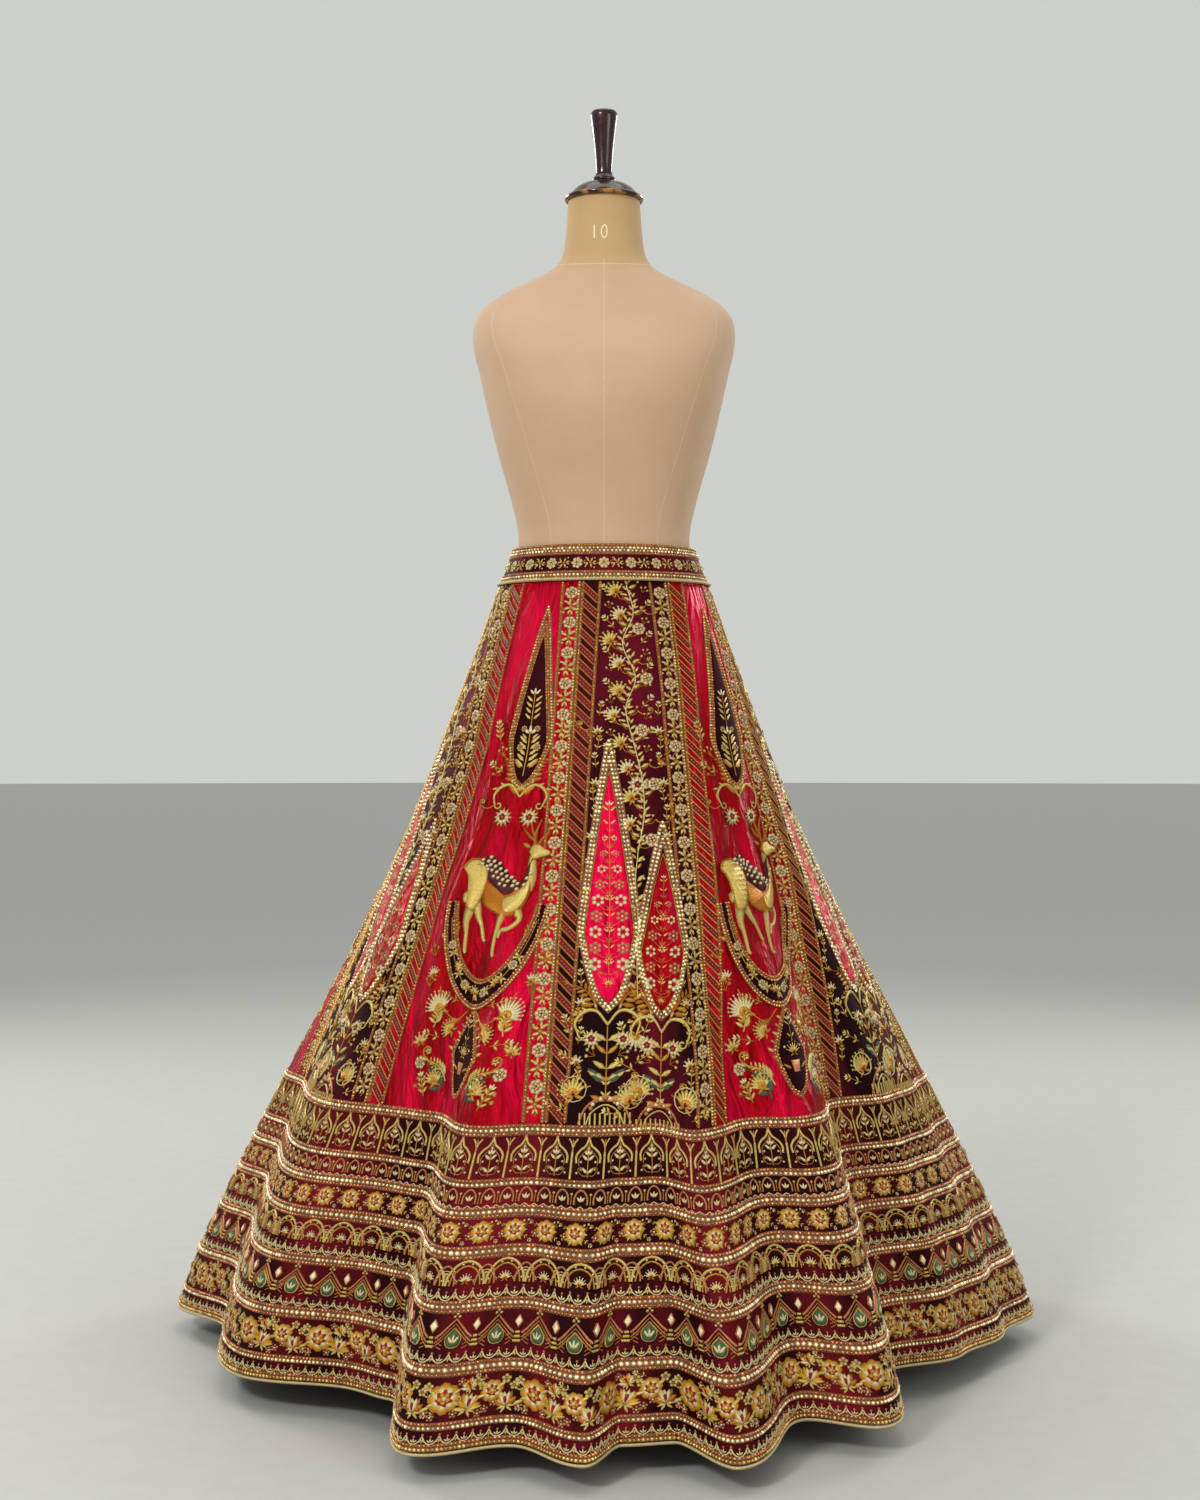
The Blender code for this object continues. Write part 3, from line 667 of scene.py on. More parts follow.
# The deer, in millimetres from its middle: outlines, and lines with their widths in metres
MM = 0.001
DEER_HAUNCH = [
    (-56, 26), (-49, 36), (-36, 38), (-24, 28), (-19, 10), (-22, -10), (-29, -28), (-41, -26), (-43, -8), (-47, 14),
]
DEER_BELLY = [
    (-22, 12), (-4, -6), (14, -8), (28, 2), (38, 14), (42, -4),
    (37, -22), (26, -33), (12, -34), (-6, -28), (-20, -16),
]
DEER_CHEST = [(8, -14), (26, -4), (38, 12), (41, -4), (35, -22), (24, -30), (12, -28)]
DEER_HEAD = [(30, 48), (34, 57), (42, 58), (49, 53), (58, 49), (57, 45), (47, 42), (38, 39)]
DEER_NECK = [(36, 0), (39, 16), (37, 30), (36, 42), (40, 50)]
DEER_COAT = (
    ([(-38, 30), (-22, 31), (-6, 18), (10, 5), (27, 3)], (0.016, 0.023, 0.025, 0.021, 0.015)),
    ([(27, 1), (34, 12), (34, 26), (37, 40)], (0.014, 0.009, 0.007, 0.005)),
)
DEER_LEGS = (
    ([(-35, -20), (-39, -42), (-36, -58), (-34, -80), (-31, -84)], 0.017),
    ([(-29, -18), (-22, -36), (-15, -48), (-9, -64), (-5, -68)], 0.014),
    ([(13, -28), (10, -46), (9, -64), (11, -82), (15, -86)], 0.013),
    ([(31, -26), (37, -38), (26, -49), (16, -52), (14, -62)], 0.012),
)
DEER_ANTLERS = (
    [(36, 56), (33, 68), (34, 80), (38, 92)],
    [(34, 68), (28, 76), (24, 88)],
    [(34, 64), (24, 70), (15, 80)],
    [(38, 56), (43, 66), (49, 74), (50, 84)],
)
SPOT_PITCH, SPOT_ROW = 0.0072, 0.0062
KNOT_PITCH, KNOT_ROW = 6.2, 6.4


def spots(s, path, widths):
    """A brown stretch of the deer's coat, with cream spots in staggered rows."""
    line = through(path, 6) * MM
    s.stroke(line, widths, "brown", 0.0030)
    length = run_of(line)
    for i, far in enumerate(np.arange(0.004, length[-1] - 0.002, SPOT_PITCH)):
        n = min(int(np.searchsorted(length, far)), len(line) - 2)
        run = (line[n + 1] - line[n]) / np.linalg.norm(line[n + 1] - line[n])
        half = np.interp(far / length[-1], np.linspace(0, 1, len(widths)), widths) / 2
        for row in range(-2, 3):
            off = (row + 0.5 * (i % 2) - 0.25) * SPOT_ROW
            if abs(off) < half - 0.0022:
                x, y = line[n] + np.array([-run[1], run[0]]) * off
                s.leaf(x, y, -62, 0.0067, 0.0054, "cream", 0.0012, 0.0030 * (1 - abs(off) / half) + 0.0008)


def deer():
    """A spotted, antlered deer that steps to the right."""
    s = Sketch()
    for path, thick in DEER_LEGS:
        s.stroke(through(path, 3) * MM, (thick, thick * 0.62, 0.0058, 0.0054, 0.0040), "pale", 0.0016)
    s.stroke(through(DEER_NECK, 4) * MM, (0.017, 0.013, 0.011, 0.011), "pale", 0.0024)
    for outline, thread, height, edge in (
        (DEER_BELLY, "orange", 0.0016, "orange"),
        (DEER_CHEST, "pale", 0.0022, "orange"),
        (DEER_HEAD, "pale", 0.0030, "orange"),
        (DEER_HAUNCH, "pale", 0.0028, "gold"),
    ):
        loop = through(outline + outline[:1], 3)[:-1] * MM
        s.fill(loop, thread, height, inner=0.9)
        s.stroke(closed(loop), 0.0011, edge, height + 0.0004)
    s.leaf(0.030, 0.054, 64, 0.014, 0.007, "gold", 0.0026)
    s.leaf(-0.042, -0.002, 165, 0.018, 0.014, "pale", 0.0022)
    s.dome(0.046, 0.051, 0.0016, "brown", 0.0042)
    for path, widths in DEER_COAT:
        spots(s, path, widths)
    for row in range(10):
        for column in range(8):
            knot = np.array([-56 + KNOT_PITCH * (column + row % 2 / 2), 36 - KNOT_ROW * row]) * MM
            if inside(knot, loop):
                s.stroke([knot, knot + [0.0040, -0.0024]], 0.0012, "orange", 0.0034)
    for path in DEER_ANTLERS:
        s.stroke(through(path, 3) * MM, (0.0052, 0.0042, 0.0018), "orange", 0.0020)
    return s


def flat_drop(patch):
    """Half widths of a pointed drop down its length, as (share, width) rows."""
    shares = np.linspace(0, 1, 25)
    rise = patch.half_width * np.minimum(1, shares / patch.widest) ** 0.85
    fall = np.clip((1 - shares) / (1 - patch.widest), 0, 1)
    return shares, np.where(shares > patch.widest, patch.half_width * fall**0.5, rise)


def drop_outline(patch, half, top, bottom):
    """The outline of a drop that grows by half, top and bottom, as sketch points."""
    shares, half_widths = flat_drop(patch._replace(half_width=patch.half_width + half))
    top, bottom = at(patch.top + top), at(patch.bottom - bottom)
    y = top + (bottom - top) * shares
    right, left = (np.stack([patch.centre + side * half_widths, y], axis=1) for side in (1, -1))
    return np.vstack([right, left[-2:0:-1]])


def drop_plant(patch):
    """The symmetric flowering plant in a drop."""
    s = Sketch()
    bottom, length = at(patch.bottom), at(patch.top) - at(patch.bottom)
    low, high = bottom + 0.12 * length, bottom + 0.76 * length
    x, w = patch.centre, patch.half_width
    s.stroke([(x, low), (x, (low + high) / 2), (x, high)], 0.0015, "gold")
    s.add(sprig(0.12 * length, tip="cream"), x, high - 0.01 * length)
    levels = max(4, round((high - low) / 0.0215))
    for i in range(levels):
        y = low + (high - low) * (0.04 + 0.96 * i / levels)
        room = w * min(1, (1 - (y - bottom) / length) / patch.widest) - 0.004
        reach = min(w * 0.56, room * 0.66)
        tip, heart = (("cream", "red"), ("copper", "cream"))[i % 2]
        for side in (1, -1):
            s.stroke(bow((x, y - 0.008), (x + side * reach, y + 0.003), -side * 0.003, 4), 0.0011, "gold")
            s.flower(x + side * reach, y + 0.005, min(w * 0.30, room * 0.42), 6, tip, heart, plump=0.8)
        s.tuft(x, y + 0.004, (50, -50), w * 0.34, w * 0.13, "pale")
        s.tuft(x, y + 0.012, (30, -30), w * 0.30, w * 0.12, "orange")
        if i % 2 == 0 and reach > w * 0.35:
            s.flower(x, y + 0.009, w * 0.20, 6, "pale", "red")
    s.add(fan(w * 0.5), x, low - 0.014)
    return s.pairs(x, low, [(curl(w * 0.4), 0.002, -0.006, 0, True)])


# Leaves beside each bloom of a vine: metres up, lean, length as a share of the bloom's reach
VINE_LEAVES = (0.004, 62, 0.85), (0.012, 28, 0.70), (0.001, -50, 0.70), (-0.006, -75, 0.65), (0.009, -30, 0.6)


def vine(points, pitch, blooms, reach):
    """A stem through points with a bloom on each side in turn."""
    s = Sketch()
    path = through(points, 8)
    s.stroke(path, 0.0018, "cream", 0.0012)
    length = run_of(path)
    for i, far in enumerate(np.arange(pitch / 2, length[-1], pitch)):
        x, y = np.interp(far, length, path[:, 0]), np.interp(far, length, path[:, 1])
        side = 1 if i % 2 else -1
        bloom, up = blooms[i % len(blooms)]
        bud = (x - side * reach * 0.9, y + 0.014)
        s.stroke(bow((x, y - 0.010), (x + side * reach, y + up), -side * 0.006, 5), 0.0012, "gold")
        s.add(bloom, x + side * reach, y + up, turn=-side * 38)
        for lift, turn, size in VINE_LEAVES:
            s.leaf(x, y + lift, side * turn, reach * size, reach * size * 0.42, "pale")
        s.dome(*bud, 0.0020, "pale", 0.0016)
        s.stroke(bow((x, y), bud, side * 0.003, 4), 0.0009, "orange")
    return s


def tip_sprig(length, pairs=2):
    """A sprig with a cream bloom."""
    return sprig(length, pairs, "pale", "cream")


# The two stems on a dark kali: metres across, height above the floor
MAIN_STEM = (
    (0.0, 1.024), (0.008, 0.985), (-0.007, 0.945), (0.009, 0.900), (-0.004, 0.860),
    (0.006, 0.815), (0.016, 0.770), (0.018, 0.725), (0.010, 0.680),
)
THIN_STEM = (0.010, 0.680), (0.006, 0.640), (0.0095, 0.590), (0.0085, 0.545), (0.010, 0.505)
# Leaves on the plant under a satin drop: metres below its point, lean, length, thread
PLANT_LEAVES = (
    (0.098, 50, 0.030, "green"), (0.094, 62, 0.026, "pale"), (0.080, 60, 0.020, "pale"),
    (0.062, 50, 0.018, "gold"), (0.046, 60, 0.020, "pale"), (0.118, 70, 0.020, "gold"),
)


def drop_foot(s, x, foot):
    """The scrolls, flowers and fenced mound under a satin drop."""
    s.pairs(x, foot, (
        (spray(0.052, 5), 0.013, -0.008, 52, True),
        (berries(0.012), 0.030, -0.016, 80),
        (wreath(0.0125, 11), 0.019, -0.044, 0),
        (tip_sprig(0.026), 0.044, -0.040, 20),
        (tip_sprig(0.024), 0.048, -0.128, 70),
        (berries(0.012, "pale"), 0.014, -0.064, 60),
        (fan(0.038, 9), 0.038, -0.112, 20),
        (sprig(0.026), 0.034, -0.074, 60),
        (curl(0.022), 0.018, -0.100, 10, True),
    ))
    s.add(scroll_arch(0.084, 0.030), x, foot - 0.026)
    s.stroke([(x, foot - 0.022), (x, foot - 0.110)], 0.0018, "gold")
    for down, lean, size, thread in PLANT_LEAVES:
        s.tuft(x, foot - down, (lean, -lean), size, size * 0.36, thread)
    mound = through([(-0.032, -0.005), (-0.022, 0.016), (0, 0.028), (0.022, 0.016), (0.032, -0.005)], 4)
    s.stroke(mound + [x, foot - 0.140], 0.0030, "copper", 0.0016)
    s.stroke(mound * 0.72 + [x, foot - 0.142], 0.0022, "pale", 0.0016)
    for bar in np.arange(-0.030, 0.031, 0.006):
        s.stroke([(x + bar, foot - 0.146), (x + bar, foot - 0.132)], 0.0026, "pale", 0.0014)
    for i in range(9):
        turn = math.radians(15 + 18.75 * i)
        thread = "crystal" if i % 2 else "copper"
        s.dome(x + 0.018 * math.cos(turn), foot - 0.130 + 0.016 * math.sin(turn), 0.0030, thread, 0.0024)
    s.add(sprig(0.026, 2, "pale", "copper"), x, foot - 0.116)
    for side in (1, -1):
        s.stroke(arc(x + side * 0.038, foot - 0.104, 0.0150, 0, 360, 12), 0.0015, "cream", 0.0016)


def velvet_field():
    """The plants on a dark kali, between its seam strips."""
    s = Sketch()
    blooms = (fan(0.027), -0.002), (curl(0.018), -0.010), (fan(0.025, 7, "cream"), 0.0), (rose(), 0.0)
    s.add(vine([(x, at(height)) for x, height in MAIN_STEM], 0.0190, blooms, 0.0150))
    for i, height in enumerate(np.arange(1.008, 0.790, -0.021)):
        side = 1 if i % 2 else -1
        s.add(tip_sprig(0.022), side * 0.017, at(height), -side * 40)
        s.add(berries(0.009, "pale"), -side * 0.022, at(height) + 0.006, side * 20)
    s.add(wreath(0.014, 10, "cream"), 0.010, at(0.762))
    s.stroke(through([(x, at(height)) for x, height in THIN_STEM], 6), 0.0014, "cream")
    for i, height in enumerate(np.arange(0.505, 0.69, 0.0115)):
        side = 1 if i % 2 else -1
        s.leaf(0.008, at(height), side * 48, 0.013, 0.006, "pale")
        s.leaf(0.008, at(height) + 0.004, -side * 40, 0.010, 0.005, "gold")
        s.dome(0.008 - side * 0.009, at(height) + 0.004, 0.0019, "cream", 0.0014)
    for x, height in ((0.046, 0.800), (0.058, 0.755), (-0.046, 0.836), (0.050, 0.720)):
        s.add(curl(0.020), x, at(height), 30, flip=x < 0)
        s.add(berries(0.010), x, at(height) - 0.004, 150)
    for patch in SATIN_DROPS:
        drop_foot(s, patch.centre, at(patch.bottom))
    foot = at(SATIN_DROPS[-1].bottom)
    s.add(fan(0.030, 7, "cream"), 0.009, foot - 0.030, 180)
    return s.add(sprig(0.030), 0.009, foot - 0.110)


def side_sprigs():
    """A column of sprigs and blooms that runs beside a seam strip."""
    s = Sketch()
    plants = tip_sprig(0.020), fan(0.015, 5, "cream"), sprig(0.020, 2, "pale", "gold")
    for i, height in enumerate(np.arange(0.850, 0.400, -0.022)):
        s.add(plants[i % 3], 0, at(height), 8 if i % 2 else -8)
    return s


def satin_field():
    """The plants and the deer on a red kali, between its seam strips."""
    s = Sketch()
    x, foot, low = VELVET_DROP.centre, at(VELVET_DROP.bottom), at(CRESCENT_BOTTOM)
    s.pairs(x, foot, (
        (spray(0.050, 6), 0.010, -0.002, 34, True),
        (berries(0.013), 0.034, 0.012, 50),
        (berries(0.011, "pale"), 0.036, 0.040, 20),
        (wreath(0.0140, 12), 0.0185, -0.046, 0),
        (curl(0.020), 0.036, -0.030, 30, True),
        (tip_sprig(0.028, 3), 0.044, 0.060, 14),
        (tip_sprig(0.026), 0.030, 0.016, 60),
    ))
    s.tuft(x, foot - 0.016, (50, -50), 0.026, 0.010, "gold", 0.0014)
    s.add(scroll_arch(0.080, 0.028), x, foot - 0.018)
    s.add(fan(0.018, 5), x, foot - 0.010)
    s.add(deer(), x - 0.001, at(0.632), scale=1.02)
    s.pairs(x, 0, (
        (spray(0.056, 6, "gold"), 0.062, at(0.560), 14, True),
        (berries(0.014), 0.078, at(0.548), 30),
        (fan(0.020, 7, "cream"), 0.074, at(0.524), 30),
    ))
    s.pairs(x, low, (
        (fan(0.042, 11, "cream"), 0.056, -0.012, 28),
        (fan(0.028, 9), 0.032, -0.036, 60),
        (tip_sprig(0.026), 0.050, -0.046, 80),
        (sprig(0.024, 2, "gold"), 0.030, 0.002, 70),
        (tip_sprig(0.030, 3), 0.060, -0.122, 20),
        (fan(0.032, 9), 0.046, -0.104, 20),
        (berries(0.014), 0.078, 0.018, 10),
        (curl(0.030), 0.040, -0.076, 20, True),
        (spray(0.040, 5, "pale"), 0.062, -0.034, 10, True),
        (spray(0.046, 6, "pale"), 0.030, -0.100, 60, True),
        (spray(0.052, 5, "green"), 0.036, -0.118, 42, True),
        (berries(0.016), 0.062, -0.112, 50),
        (fan(0.022, 5), 0.078, -0.056, 20),
        (rose(0.0085), 0.074, -0.080, 0),
    ))
    for side in (1, -1):
        path = [(0.010, -0.008), (0.030, -0.022), (0.052, -0.006), (0.062, 0.020)]
        s.stroke(through(path, 5) * [side, 1] + [x, low], 0.0018, "gold")
        s.leaf(x + side * 0.020, low - 0.020, -side * 110, 0.030, 0.011, "orange", 0.0012)
        for i in range(9):
            across = side * (0.004 + VELVET_LOZENGE.half_width * (1 - abs(i - 4) / 4.6))
            y, thread = at(VELVET_LOZENGE.top) - 0.008 - 0.0098 * i, "copper" if i % 2 else "pale"
            s.leaf(x + VELVET_LOZENGE.centre + across, y, -side * 62, 0.011, 0.005, thread)
    return s.add(fan(0.030, 7, "cream"), x, at(0.484) + 0.014, 0)


def drop_spray():
    """The tall spray of roses in a velvet drop."""
    s, x, low = Sketch(), VELVET_DROP.centre, at(VELVET_DROP.bottom)
    s.add(sprig(0.066, 5, tip="cream"), x, low + 0.010)
    s.pairs(x, low, ((rose(0.0062, "pale"), 0.011, 0.050, 0), (rose(0.0050, "pale"), 0.009, 0.076, 0)))
    for side in (1, -1):
        s.leaf(x + side * 0.002, low + 0.060, -side * 44, 0.015, 0.006, "pale")
        s.leaf(x + side * 0.003, low + 0.018, -side * 40, 0.022, 0.008, "gold")
    return s.add(tip_sprig(0.050, 4), x, low + 0.080)


def lozenge_vase():
    """The vase of flowers in a lozenge."""
    s, patch = Sketch(), VELVET_LOZENGE
    x, y = patch.centre, (at(patch.top) + at(patch.bottom)) / 2
    s.add(fan(patch.half_width), x, y - 0.002)
    s.add(sprig(0.030, tip="cream"), x, y + 0.012)
    cup = np.array([(-0.008, -0.010), (0.008, -0.010), (0.005, -0.026), (-0.005, -0.026)])
    s.fill(cup + [x, y], "copper")
    for side in (1, -1):
        s.leaf(x + side * 0.006, y - 0.022, -side * 60, 0.016, 0.006, "gold")
        s.dome(x + side * 0.014, y + 0.006, 0.0024, "cream", 0.0016)
    return s


def crescent_edge(reach, depth, count=36, first=-178, last=-2):
    """Half an ellipse that hangs from the crescent's top."""
    turns = np.radians(np.linspace(first, last, count))
    return np.stack([reach * np.cos(turns), at(CRESCENT_TOP) + depth * np.sin(turns)], axis=1)


def crescent_vine():
    """The garland along the lower part of a crescent."""
    s = Sketch()
    middle = crescent_edge(CRESCENT_INSIDE + 0.001, CRESCENT_DEPTH - CRESCENT_BAND * 0.52, 27, -168, -12)
    s.stroke(middle, 0.0013, "gold")
    blooms = fan(0.015, 5), rose(0.0062)
    for i in range(3, 24, 3):
        along = middle[i + 1] - middle[i - 1]
        turn = math.degrees(math.atan2(along[1], along[0]))
        s.add(blooms[i % 2], *middle[i], 0 if i % 2 else turn)
        s.tuft(*middle[i + 1], [turn + lean - 90 for lean in (60, -60, 120, -120)], 0.008, 0.0036, "pale")
    return s


def ogee(w, h):
    """A tall pointed arch between two columns, with a flowering stem in it."""
    s = Sketch()
    for side in (1, -1):
        rib = np.array([(0, 0.97), (0.09, 0.80), (0.24, 0.70), (0.36, 0.56), (0.35, 0.38)]) * [side * w, h]
        s.stroke(through(rib, 3), 0.0030, "pale", 0.0015)
        s.stroke(through(rib, 2) * [0.78, 0.86], 0.0013, "copper", 0.0013)
        s.add(curl(w * 0.30, "cream"), side * w * 0.03, h * 0.10, flip=side < 0)
        limb = bow((w * 0.5, h * 0.62), (w * (0.5 + side * 0.13), h * 0.96), side * 0.002, 3)
        s.stroke(limb, 0.0022, "pale")
        s.dome(side * w * 0.22, h * 0.42, 0.0017, "cream", 0.0016, sides=5)
        s.dome(side * w * 0.33, h * 0.16, 0.0017, "cream", 0.0016, sides=5)
    s.stroke([(w * 0.5, 0), (w * 0.5, h * 0.64)], 0.0030, "pale", 0.0015)
    s.stroke([(w * 0.5, h * 0.64), (w * 0.5, h * 0.94)], 0.0018, "copper", 0.0014)
    s.add(sprig(h * 0.60, 2, "cream", "cream"), 0, h * 0.06)
    s.dome(0, h * 0.99, 0.0024, "copper", 0.0018)
    return s.dome(0, h * 0.74, 0.0019, "cream", 0.0018)


def loop_arch(w, h):
    """A small beaded loop with three white leaves and a stem beside it."""
    s = Sketch()
    ring = [(-0.34, 0.0), (-0.34, 0.42), (-0.20, 0.78), (0, 0.92), (0.20, 0.78), (0.34, 0.42), (0.34, 0.0)]
    s.stroke(through(ring, 2) * [w, h], 0.0026, "copper", 0.0016)
    s.tuft(0, h * 0.18, (38, 0, -38), h * 0.42, h * 0.18, "cream")
    s.stroke([(w * 0.5, 0), (w * 0.5, h * 0.62)], 0.0012, "gold")
    s.dome(w * 0.5, h * 0.66, 0.0018, "pale", 0.0016)
    peak = [(-0.5, -0.12), (-0.25, -0.30), (0, -0.10), (0.25, -0.30), (0.5, -0.12)]
    return s.stroke(through(peak, 2) * [w, h], 0.0016, "cream", 0.0012)


def layered_rose(radius, turn=0.0):
    """A rose in rings of coloured petals."""
    rows = (
        (1.0, 8, "yellow", 0, 0.0),
        (0.80, 7, "cream", 20, 0.0006),
        (0.58, 6, "red", 0, 0.0011),
        (0.42, 5, "yellow", 30, 0.0017),
    )
    return Sketch().rings(radius, rows, turn).dome(0, 0, radius * 0.18, "cream", 0.0012, 0.0028)


def border_rose(w, h):
    """A many-coloured rose with beads, leaves and berries round it."""
    s = Sketch().tuft(0, 0, (-58, -88, 122, 58, 150, -140), w * 0.40, w * 0.12, "pale", 0.0008)
    for other, x, y, turn in (
        (layered_rose(w * 0.34), 0, 0.01, 0),
        (bead_flower(w * 0.14), -0.36, -0.10, 0),
        (berries(w * 0.20, "cream"), 0.34, 0.12, -10),
        (sprig(w * 0.30, 2, "cream", "cream"), 0.30, -0.14, -130),
        (sprig(w * 0.26), -0.30, 0.14, 60),
    ):
        s.add(other, x * w, y * w, turn)
    return s


def laced_arch(w, h):
    """A thick beaded arch with a smaller one that crosses it."""
    s = Sketch()
    hump = [(-0.5, 0.0), (-0.44, 0.45), (-0.26, 0.84), (0, 1.0), (0.26, 0.84), (0.44, 0.45), (0.5, 0.0)]
    hump = through(hump, 2)
    s.stroke(hump * [w * 0.98, h], 0.0034, "pale", 0.0018)
    s.stroke(hump * [w * 0.78, h * 0.80], 0.0024, "gold", 0.0014)
    small = hump * [w * 0.50, h * 0.80] + [w * 0.5, 0]
    s.stroke(small, 0.0028, "copper", 0.0026)
    s.stroke(small * [1, 0.76], 0.0012, "cream", 0.0014)
    for x, y in (hump * [w * 0.88, h * 0.90])[1::2]:
        s.dome(x, y, 0.0015, "crystal", 0.0024, sides=5)
    s.add(fan(w * 0.34, 7, "cream"), 0, h * 0.14)
    s.add(sprig(h * 0.46, 2, "cream", "cream"), w * 0.5, h * 0.04)
    for side in (1, -1):
        s.flower(side * w * 0.24, h * 0.18, w * 0.07, 5, "pale", "red")
    return s


def scallop(w, h):
    """One dip of a wavy cream cord, with leaves in it and under its peak."""
    s = Sketch()
    wave = [(-0.5, 0.72), (-0.36, 0.28), (-0.18, 0.02), (0, -0.06), (0.18, 0.02), (0.36, 0.28), (0.5, 0.72)]
    s.stroke(np.array(wave) * [w, h], 0.0019, "cream", 0.0014)
    s.tuft(0, h * 0.10, (52, 0, -52), h * 0.46, h * 0.20, "cream")
    s.tuft(w * 0.5, h * 0.46, (140, 180, 220), h * 0.46, h * 0.18, "pale")
    s.dome(w * 0.5, h * 0.86, 0.0018, "copper", 0.0016)
    return s.dome(0, h * 0.66, 0.0017, "copper", 0.0016)


def crown(w, h):
    """A beaded zig-zag peak over a green stone drop, with a stacked diamond beside it."""
    s, size = Sketch(), np.array([w, h])
    zig = np.array([(-0.42, 0.34), (-0.30, 0.46), (0, 0.86), (0.30, 0.46), (0.42, 0.34)])
    for drop, thread, thick in ((0, "copper", 0.0032), (0.13, "copper", 0.0020), (0.22, "gold", 0.0014)):
        s.stroke((zig - [0, drop]) * size, thick, thread, 0.0016)
    for x, y in ((0, 1.0), (-0.055, 0.93), (0.055, 0.93)):
        s.dome(x * w, y * h, 0.0020, "pale", 0.0022)
    stone = through([(0, 0.60), (-0.18, 0.34), (-0.11, 0.10), (0.11, 0.10), (0.18, 0.34), (0, 0.60)], 3)[:-1]
    s.fill(stone * size, "green", 0.0024)
    s.stroke(closed(stone) * size, 0.0014, "pale", 0.0018)
    s.tuft(0, h * 0.16, (36, 0, -36), h * 0.28, h * 0.11, "cream", 0.0012, 0.0024)
    rhomb = np.array([(0.5, 0.84), (0.41, 0.66), (0.5, 0.48), (0.59, 0.66)]) * size
    s.fill(rhomb, "crystal", 0.0022)
    s.stroke(closed(rhomb), 0.0020, "copper", 0.0022)
    for half, y in ((0.05, 0.36), (0.07, 0.24), (0.09, 0.12)):
        s.stroke(np.array([(0.5 - half, y), (0.5 + half, y)]) * size, 0.0034, "pale", 0.0018)
    for y in (0.04, 0.15, 0.26):
        for side in (1, -1):
            s.stroke(np.array([(side * 0.24, y), (side * 0.36, y + 0.08)]) * size, 0.0014, "copper")
    return s


def tulip(size, outer="yellow", inner="cream"):
    """A side-on flower with a red heart over leafy sepals."""
    s = Sketch().tuft(0, 0, (58, -58), size * 0.50, size * 0.26, outer)
    s.tuft(0, 0, (30, -30), size * 0.60, size * 0.26, outer)
    s.tuft(0, 0, (20, -20, 0), size * 0.56, size * 0.22, inner, 0.0012, 0.0006)
    s.leaf(0, size * 0.06, 0, size * 0.34, size * 0.18, "red", 0.0012, 0.0014)
    return s.tuft(0, 0, (100, -100, 140, -140), size * 0.34, size * 0.12, "pale")


def floral_repeat(w, h):
    """One repeat of the large flowers near the hem."""
    s = Sketch()
    for x, y, turns, reach in (
        (-0.22, 0.02, (115, -115, 60, -62), 0.46),
        (0.30, 0.06, (110, -110, 50, -55), 0.40),
        (0.05, -0.30, (80, -80), 0.36),
        (-0.48, -0.3, (-60,), 0.3),
        (0.48, -0.3, (60,), 0.3),
    ):
        s.tuft(x * w, y * h, turns, reach * h, h * 0.12, "pale")
    beads, leafy = bead_flower(h * 0.11), sprig(h * 0.30, 2, "cream", "cream")
    for other, places in (
        (layered_rose(h * 0.38), [(-0.22, 0.02, 0)]),
        (layered_rose(h * 0.27, 15), [(0.30, 0.08, 0)]),
        (tulip(h * 0.68), [(0.04, -0.28, -14)]),
        (tulip(h * 0.62, "orange"), [(0.47, -0.30, 12)]),
        (tulip(h * 0.46, "cream", "yellow"), [(0.06, 0.20, 30)]),
        (beads, [(-0.41, -0.30, 0), (0.24, -0.34, 0), (-0.10, -0.36, 0), (-0.05, 0.38, 0)]),
        (beads, [(0.33, -0.20, 0), (-0.34, -0.40, 0), (0.17, -0.42, 0)]),
        (leafy, [(-0.30, -0.32, 100), (0.24, 0.38, 70), (-0.02, 0.06, 130)]),
        (leafy, [(0.40, -0.06, -160), (-0.38, 0.02, 20)]),
    ):
        for x, y, turn in places:
            s.add(other, x * w, y * h, turn)
    for x, y in ((0.13, 0.34), (-0.40, 0.30), (0.44, 0.34)):
        s.flower(x * w, y * h, 0.12 * h, 5, "pale", "copper", plump=0.8)
    for x, y in ((0.19, 0.22), (-0.46, 0.18)):
        s.flower(x * w, y * h, 0.11 * h, 5, "pale", "copper", plump=0.8)
    return s


# Rows of motifs in the border, in metres from its seam
MotifRow = namedtuple("MotifRow", "top bottom spacing motif")
MOTIF_ROWS = (
    MotifRow(0.014, 0.062, 0.0380, ogee),
    MotifRow(0.072, 0.090, 0.0215, loop_arch),
    MotifRow(0.107, 0.137, 0.0370, border_rose),
    MotifRow(0.153, 0.180, 0.0430, laced_arch),
    MotifRow(0.182, 0.195, 0.0200, scallop),
    MotifRow(0.210, 0.249, 0.0500, crown),
    MotifRow(0.250, 0.261, 0.0190, scallop),
    MotifRow(0.278, 0.324, 0.0980, floral_repeat),
    MotifRow(0.336, 0.347, 0.0190, scallop),
)
CENTRED_MOTIFS = (border_rose, floral_repeat)
